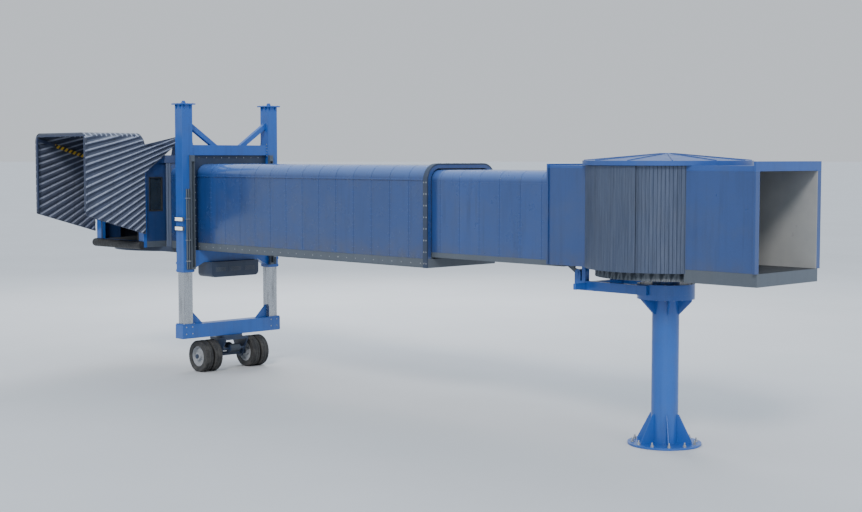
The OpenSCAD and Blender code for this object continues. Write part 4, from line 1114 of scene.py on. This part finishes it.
def canopy_hem():
    """A sewn roll along every free edge of the sheet behind its mouth."""
    lip_f = CANOPY_FRONT - 0.05
    lip_z = CANOPY_LIP - LIP_RISE * 0.05 / (CANOPY_FRONT - CANOPY_REAR)
    starts = [(lip_f, lip_z)] + CANOPY_OUTLINE[:2] + CANOPY_OUTLINE[3:4]
    ends = CANOPY_OUTLINE[:3] + CANOPY_OUTLINE[4:5]
    shape = Shape()
    for side in (-1, 1):
        y = side * (CANOPY_HALF - 0.014)
        for (f0, z0), (f1, z1) in zip(starts, ends):
            shape.tube([from_cab(f0 + (f1 - f0) * t, y, z0 + (z1 - z0) * t + 0.006)
                        for t in spread(0.0, 1.0, 12)], 0.012, 8)
        shape.tube([side_point(rise_f(z), z, side) for z in spread(RISE_Z, CANOPY_TOP, 20)], 0.010, 8)
    shape.tube([from_cab(CANOPY_REAR + 0.026, y, APRON_LOW + 0.012)
                for y in spread(-1.45, 1.45, 24)], 0.010, 8)
    return shape.piece("canopy_hem", "cab", "canopy_fabric", hem_cloth, smooth=60)


def canopy_pad():
    """The foam roll round the canopy's mouth, pinched in at each stitched joint."""
    radius, stitch, pinch_width, pinch_depth = 0.044, 0.33, 0.020, 0.22
    f = CANOPY_FRONT - radius
    inset = CANOPY_HALF - radius - 0.002
    top = CANOPY_TOP - radius - 0.002
    bend = CANOPY_CORNER - radius
    half = [(inset, z) for z in steps(CANOPY_LIP + 0.04, top - bend, 0.055)]
    half += [(inset - bend + bend * math.cos(a), top - bend + bend * math.sin(a))
             for a in spread(0.0, math.pi / 2, 8)[1:-1]]
    across = steps(-(inset - bend), inset - bend, 0.055)
    path = half + [(y, top) for y in reversed(across)] + [(-y, z) for y, z in reversed(half)]
    points = [from_cab(f, y, z) for y, z in path]
    radii = []
    length = 0.0
    for i, point in enumerate(points):
        length += (point - points[i - 1]).length if i else 0.0
        pinch = math.exp(-((length % stitch - stitch / 2) / pinch_width) ** 2)
        radii.append(radius * (1.0 - pinch_depth * pinch))
    shape = Shape()
    shape.tube(points, radii, 16)
    pad = shape.piece("canopy_front_pad", "cab", "canopy_fabric", hem_cloth, smooth=70)


def canopy_arm_stripes():
    """Safety stripes round the middle of each swing arm."""
    low_z = CAB_CEILING_Z + 0.075
    high_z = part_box("canopy_bows")[1].z - 0.13
    rise = (high_z - low_z) / (CANOPY_FRONT - 0.025 - CANOPY_REAR)
    outer_y = CANOPY_HALF - 0.0698
    inner_y = outer_y - 0.054
    half = 0.055
    section = ((inner_y, -half), (outer_y, -half), (outer_y, half), (inner_y, half))
    places = [(f, low_z + (f - CANOPY_REAR) * rise) for f in steps(2.60, 3.80, 0.2)]
    shape = Shape()
    for side in (-1, 1):
        rings = [[from_cab(f, side * y, middle + up) for y, up in section] for f, middle in places]
        for near, far in zip(rings, rings[1:]):
            shape.prism(near, far)
    shape.piece("arm_stripes", "cab", "tube", stripes)


def roller_curtain(name, tunnel_turn, cab_turn, radius):
    """A ribbed sheet between the tunnel and the cab, of the kind that runs out or winds in as the cab
    turns; here it is built once, in a fixed shape.
    """
    low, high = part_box("cab_curtain")
    columns = 96
    rib_depth = 0.010
    shape = Shape()
    shape.grid([[on_circle(radius + rib_depth * math.cos(i * math.tau / 4), turn, z, CAB_X)
                 for z in steps(low.z + 0.003, high.z - 0.006, 0.5)]
                for i, turn in enumerate(spread(cab_turn, tunnel_turn, columns))])
    made = shape.piece(name, "outer_tunnel", "slats", slats, smooth=60)
    made.parent = None
    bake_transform(made)


def roller_curtains():
    """Left: from the cab's wall to the fixed strip. Right: from the fixed leaf's end to the cab's."""
    strip, leaf, opening, lap = [math.radians(width) for width in (6.0, 87.0, 7.6, 0.6)]
    cab_half = math.asin(DRUM_HALF / DRUM_RADIUS)
    wall_turn = math.pi / 2 + cab_half
    leaf_turn = math.pi / 2 - cab_half - leaf
    roller_curtain("roller_curtain", wall_turn + strip, wall_turn, radius=1.98)
    roller_curtain("sprung_curtain", leaf_turn - opening, leaf_turn + lap, radius=2.018)


def aimed(name, data, place, target):
    """A lamp or camera that looks at a target."""
    made = placed(name, data)
    made.location = place
    made.rotation_euler = (Vector(target) - Vector(place)).to_track_quat("-Z", "Y").to_euler()
    return made


def add_light(name, kind, place, power, colour, **size):
    """A lamp aimed at the middle of the bridge. Only the sun shows in reflections."""
    light = bpy.data.lights.new(name, kind)
    light.energy = power
    light.color = colour
    for key, value in size.items():
        setattr(light, key, value)
    aimed(name, light, place, (9.0, 0.0, 4.0)).visible_glossy = kind == "SUN"


def studio():
    """Pale floor, soft dome and lights."""
    mesh = bpy.data.meshes.new("studio_floor")
    edit = bmesh.new()
    bmesh.ops.create_circle(edit, cap_ends=True, segments=96, radius=2500.0)
    edit.to_mesh(mesh)
    edit.free()
    floor = placed("studio_floor", mesh)
    floor.location = (0.0, 0.0, -0.002)
    look = Shader("pale_floor", 0.70)
    look.tone = look.mix(look.patches(0.15, 3), *STUDIO_GREY)
    mesh.materials.append(look.finish())
    studio_sky()
    add_light("key_light", "SUN", (-14.0, 34.0, 34.0), 2.1, (1.0, 0.965, 0.92), angle=math.radians(14))
    add_light("fill_light", "AREA", (-34.0, 2.0, 14.0), 3500.0, (0.88, 0.93, 1.0), size=16.0)
    add_light("rim_light", "AREA", (36.0, -22.0, 26.0), 12000.0, (0.95, 0.97, 1.0), size=18.0)


def studio_sky():
    """A soft dome: pale at the horizon, where it meets the floor, and brighter overhead."""
    world = bpy.data.worlds.new("studio_sky")
    sky = Nodes(world)
    height = sky.node("SeparateXYZ", {0: sky.coords["Generated"]}).outputs["Z"]
    ramp = sky.node("ValToRGB", {"Fac": height})
    stops = ((0.10, (0.50, 0.53, 0.57, 1.0)), (0.75, (0.70, 0.84, 1.0, 1.0)))
    for stop, (position, colour) in zip(ramp.color_ramp.elements, stops):
        stop.position = position
        stop.color = colour
    sky.fill(sky.tree.nodes["Background"], {"Color": ramp.outputs["Color"], "Strength": 1.40})
    bpy.context.scene.world = world


def photo_camera():
    """The eye stands 7 m up, where the photograph's does, and looks along the bridge to its cab."""
    photo_width_px, focal_px, sensor = 862, 1450, 36.0
    camera = bpy.data.cameras.new("photo_camera")
    camera.sensor_width = sensor
    camera.lens = sensor / photo_width_px * focal_px
    camera.clip_end = 3000.0
    bpy.context.scene.camera = aimed("photo_camera", camera, (PORTAL_X - 39.2, 28.6, 7.0), (7.3, 0.9, 4.30))


photo_camera()
studio()
dress_frame()
anchor_bolts()
rotunda_details()
tunnel_seams("outer_rivets", "outer_tunnel", OUTER_LOW, OUTER_HIGH, CAB_X, OUTER_PITCH)
tunnel_seams("inner_rivets", "inner_tunnel", INNER_LOW, INNER_HIGH, INNER_HIGH.x, INNER_PITCH)
tunnel_trims()
collar_details()
eave_closers()
portal_details()
ring_bolts()
pipe_clamps()
drive_box_details()
lamp_housings()
tyres()
wheel_details()
carriage_details()
window_gaskets()
bumper_ribs()
doorway_trim()
roof_header()
canopy()
canopy_pad()
canopy_arm_stripes()
roller_curtains()
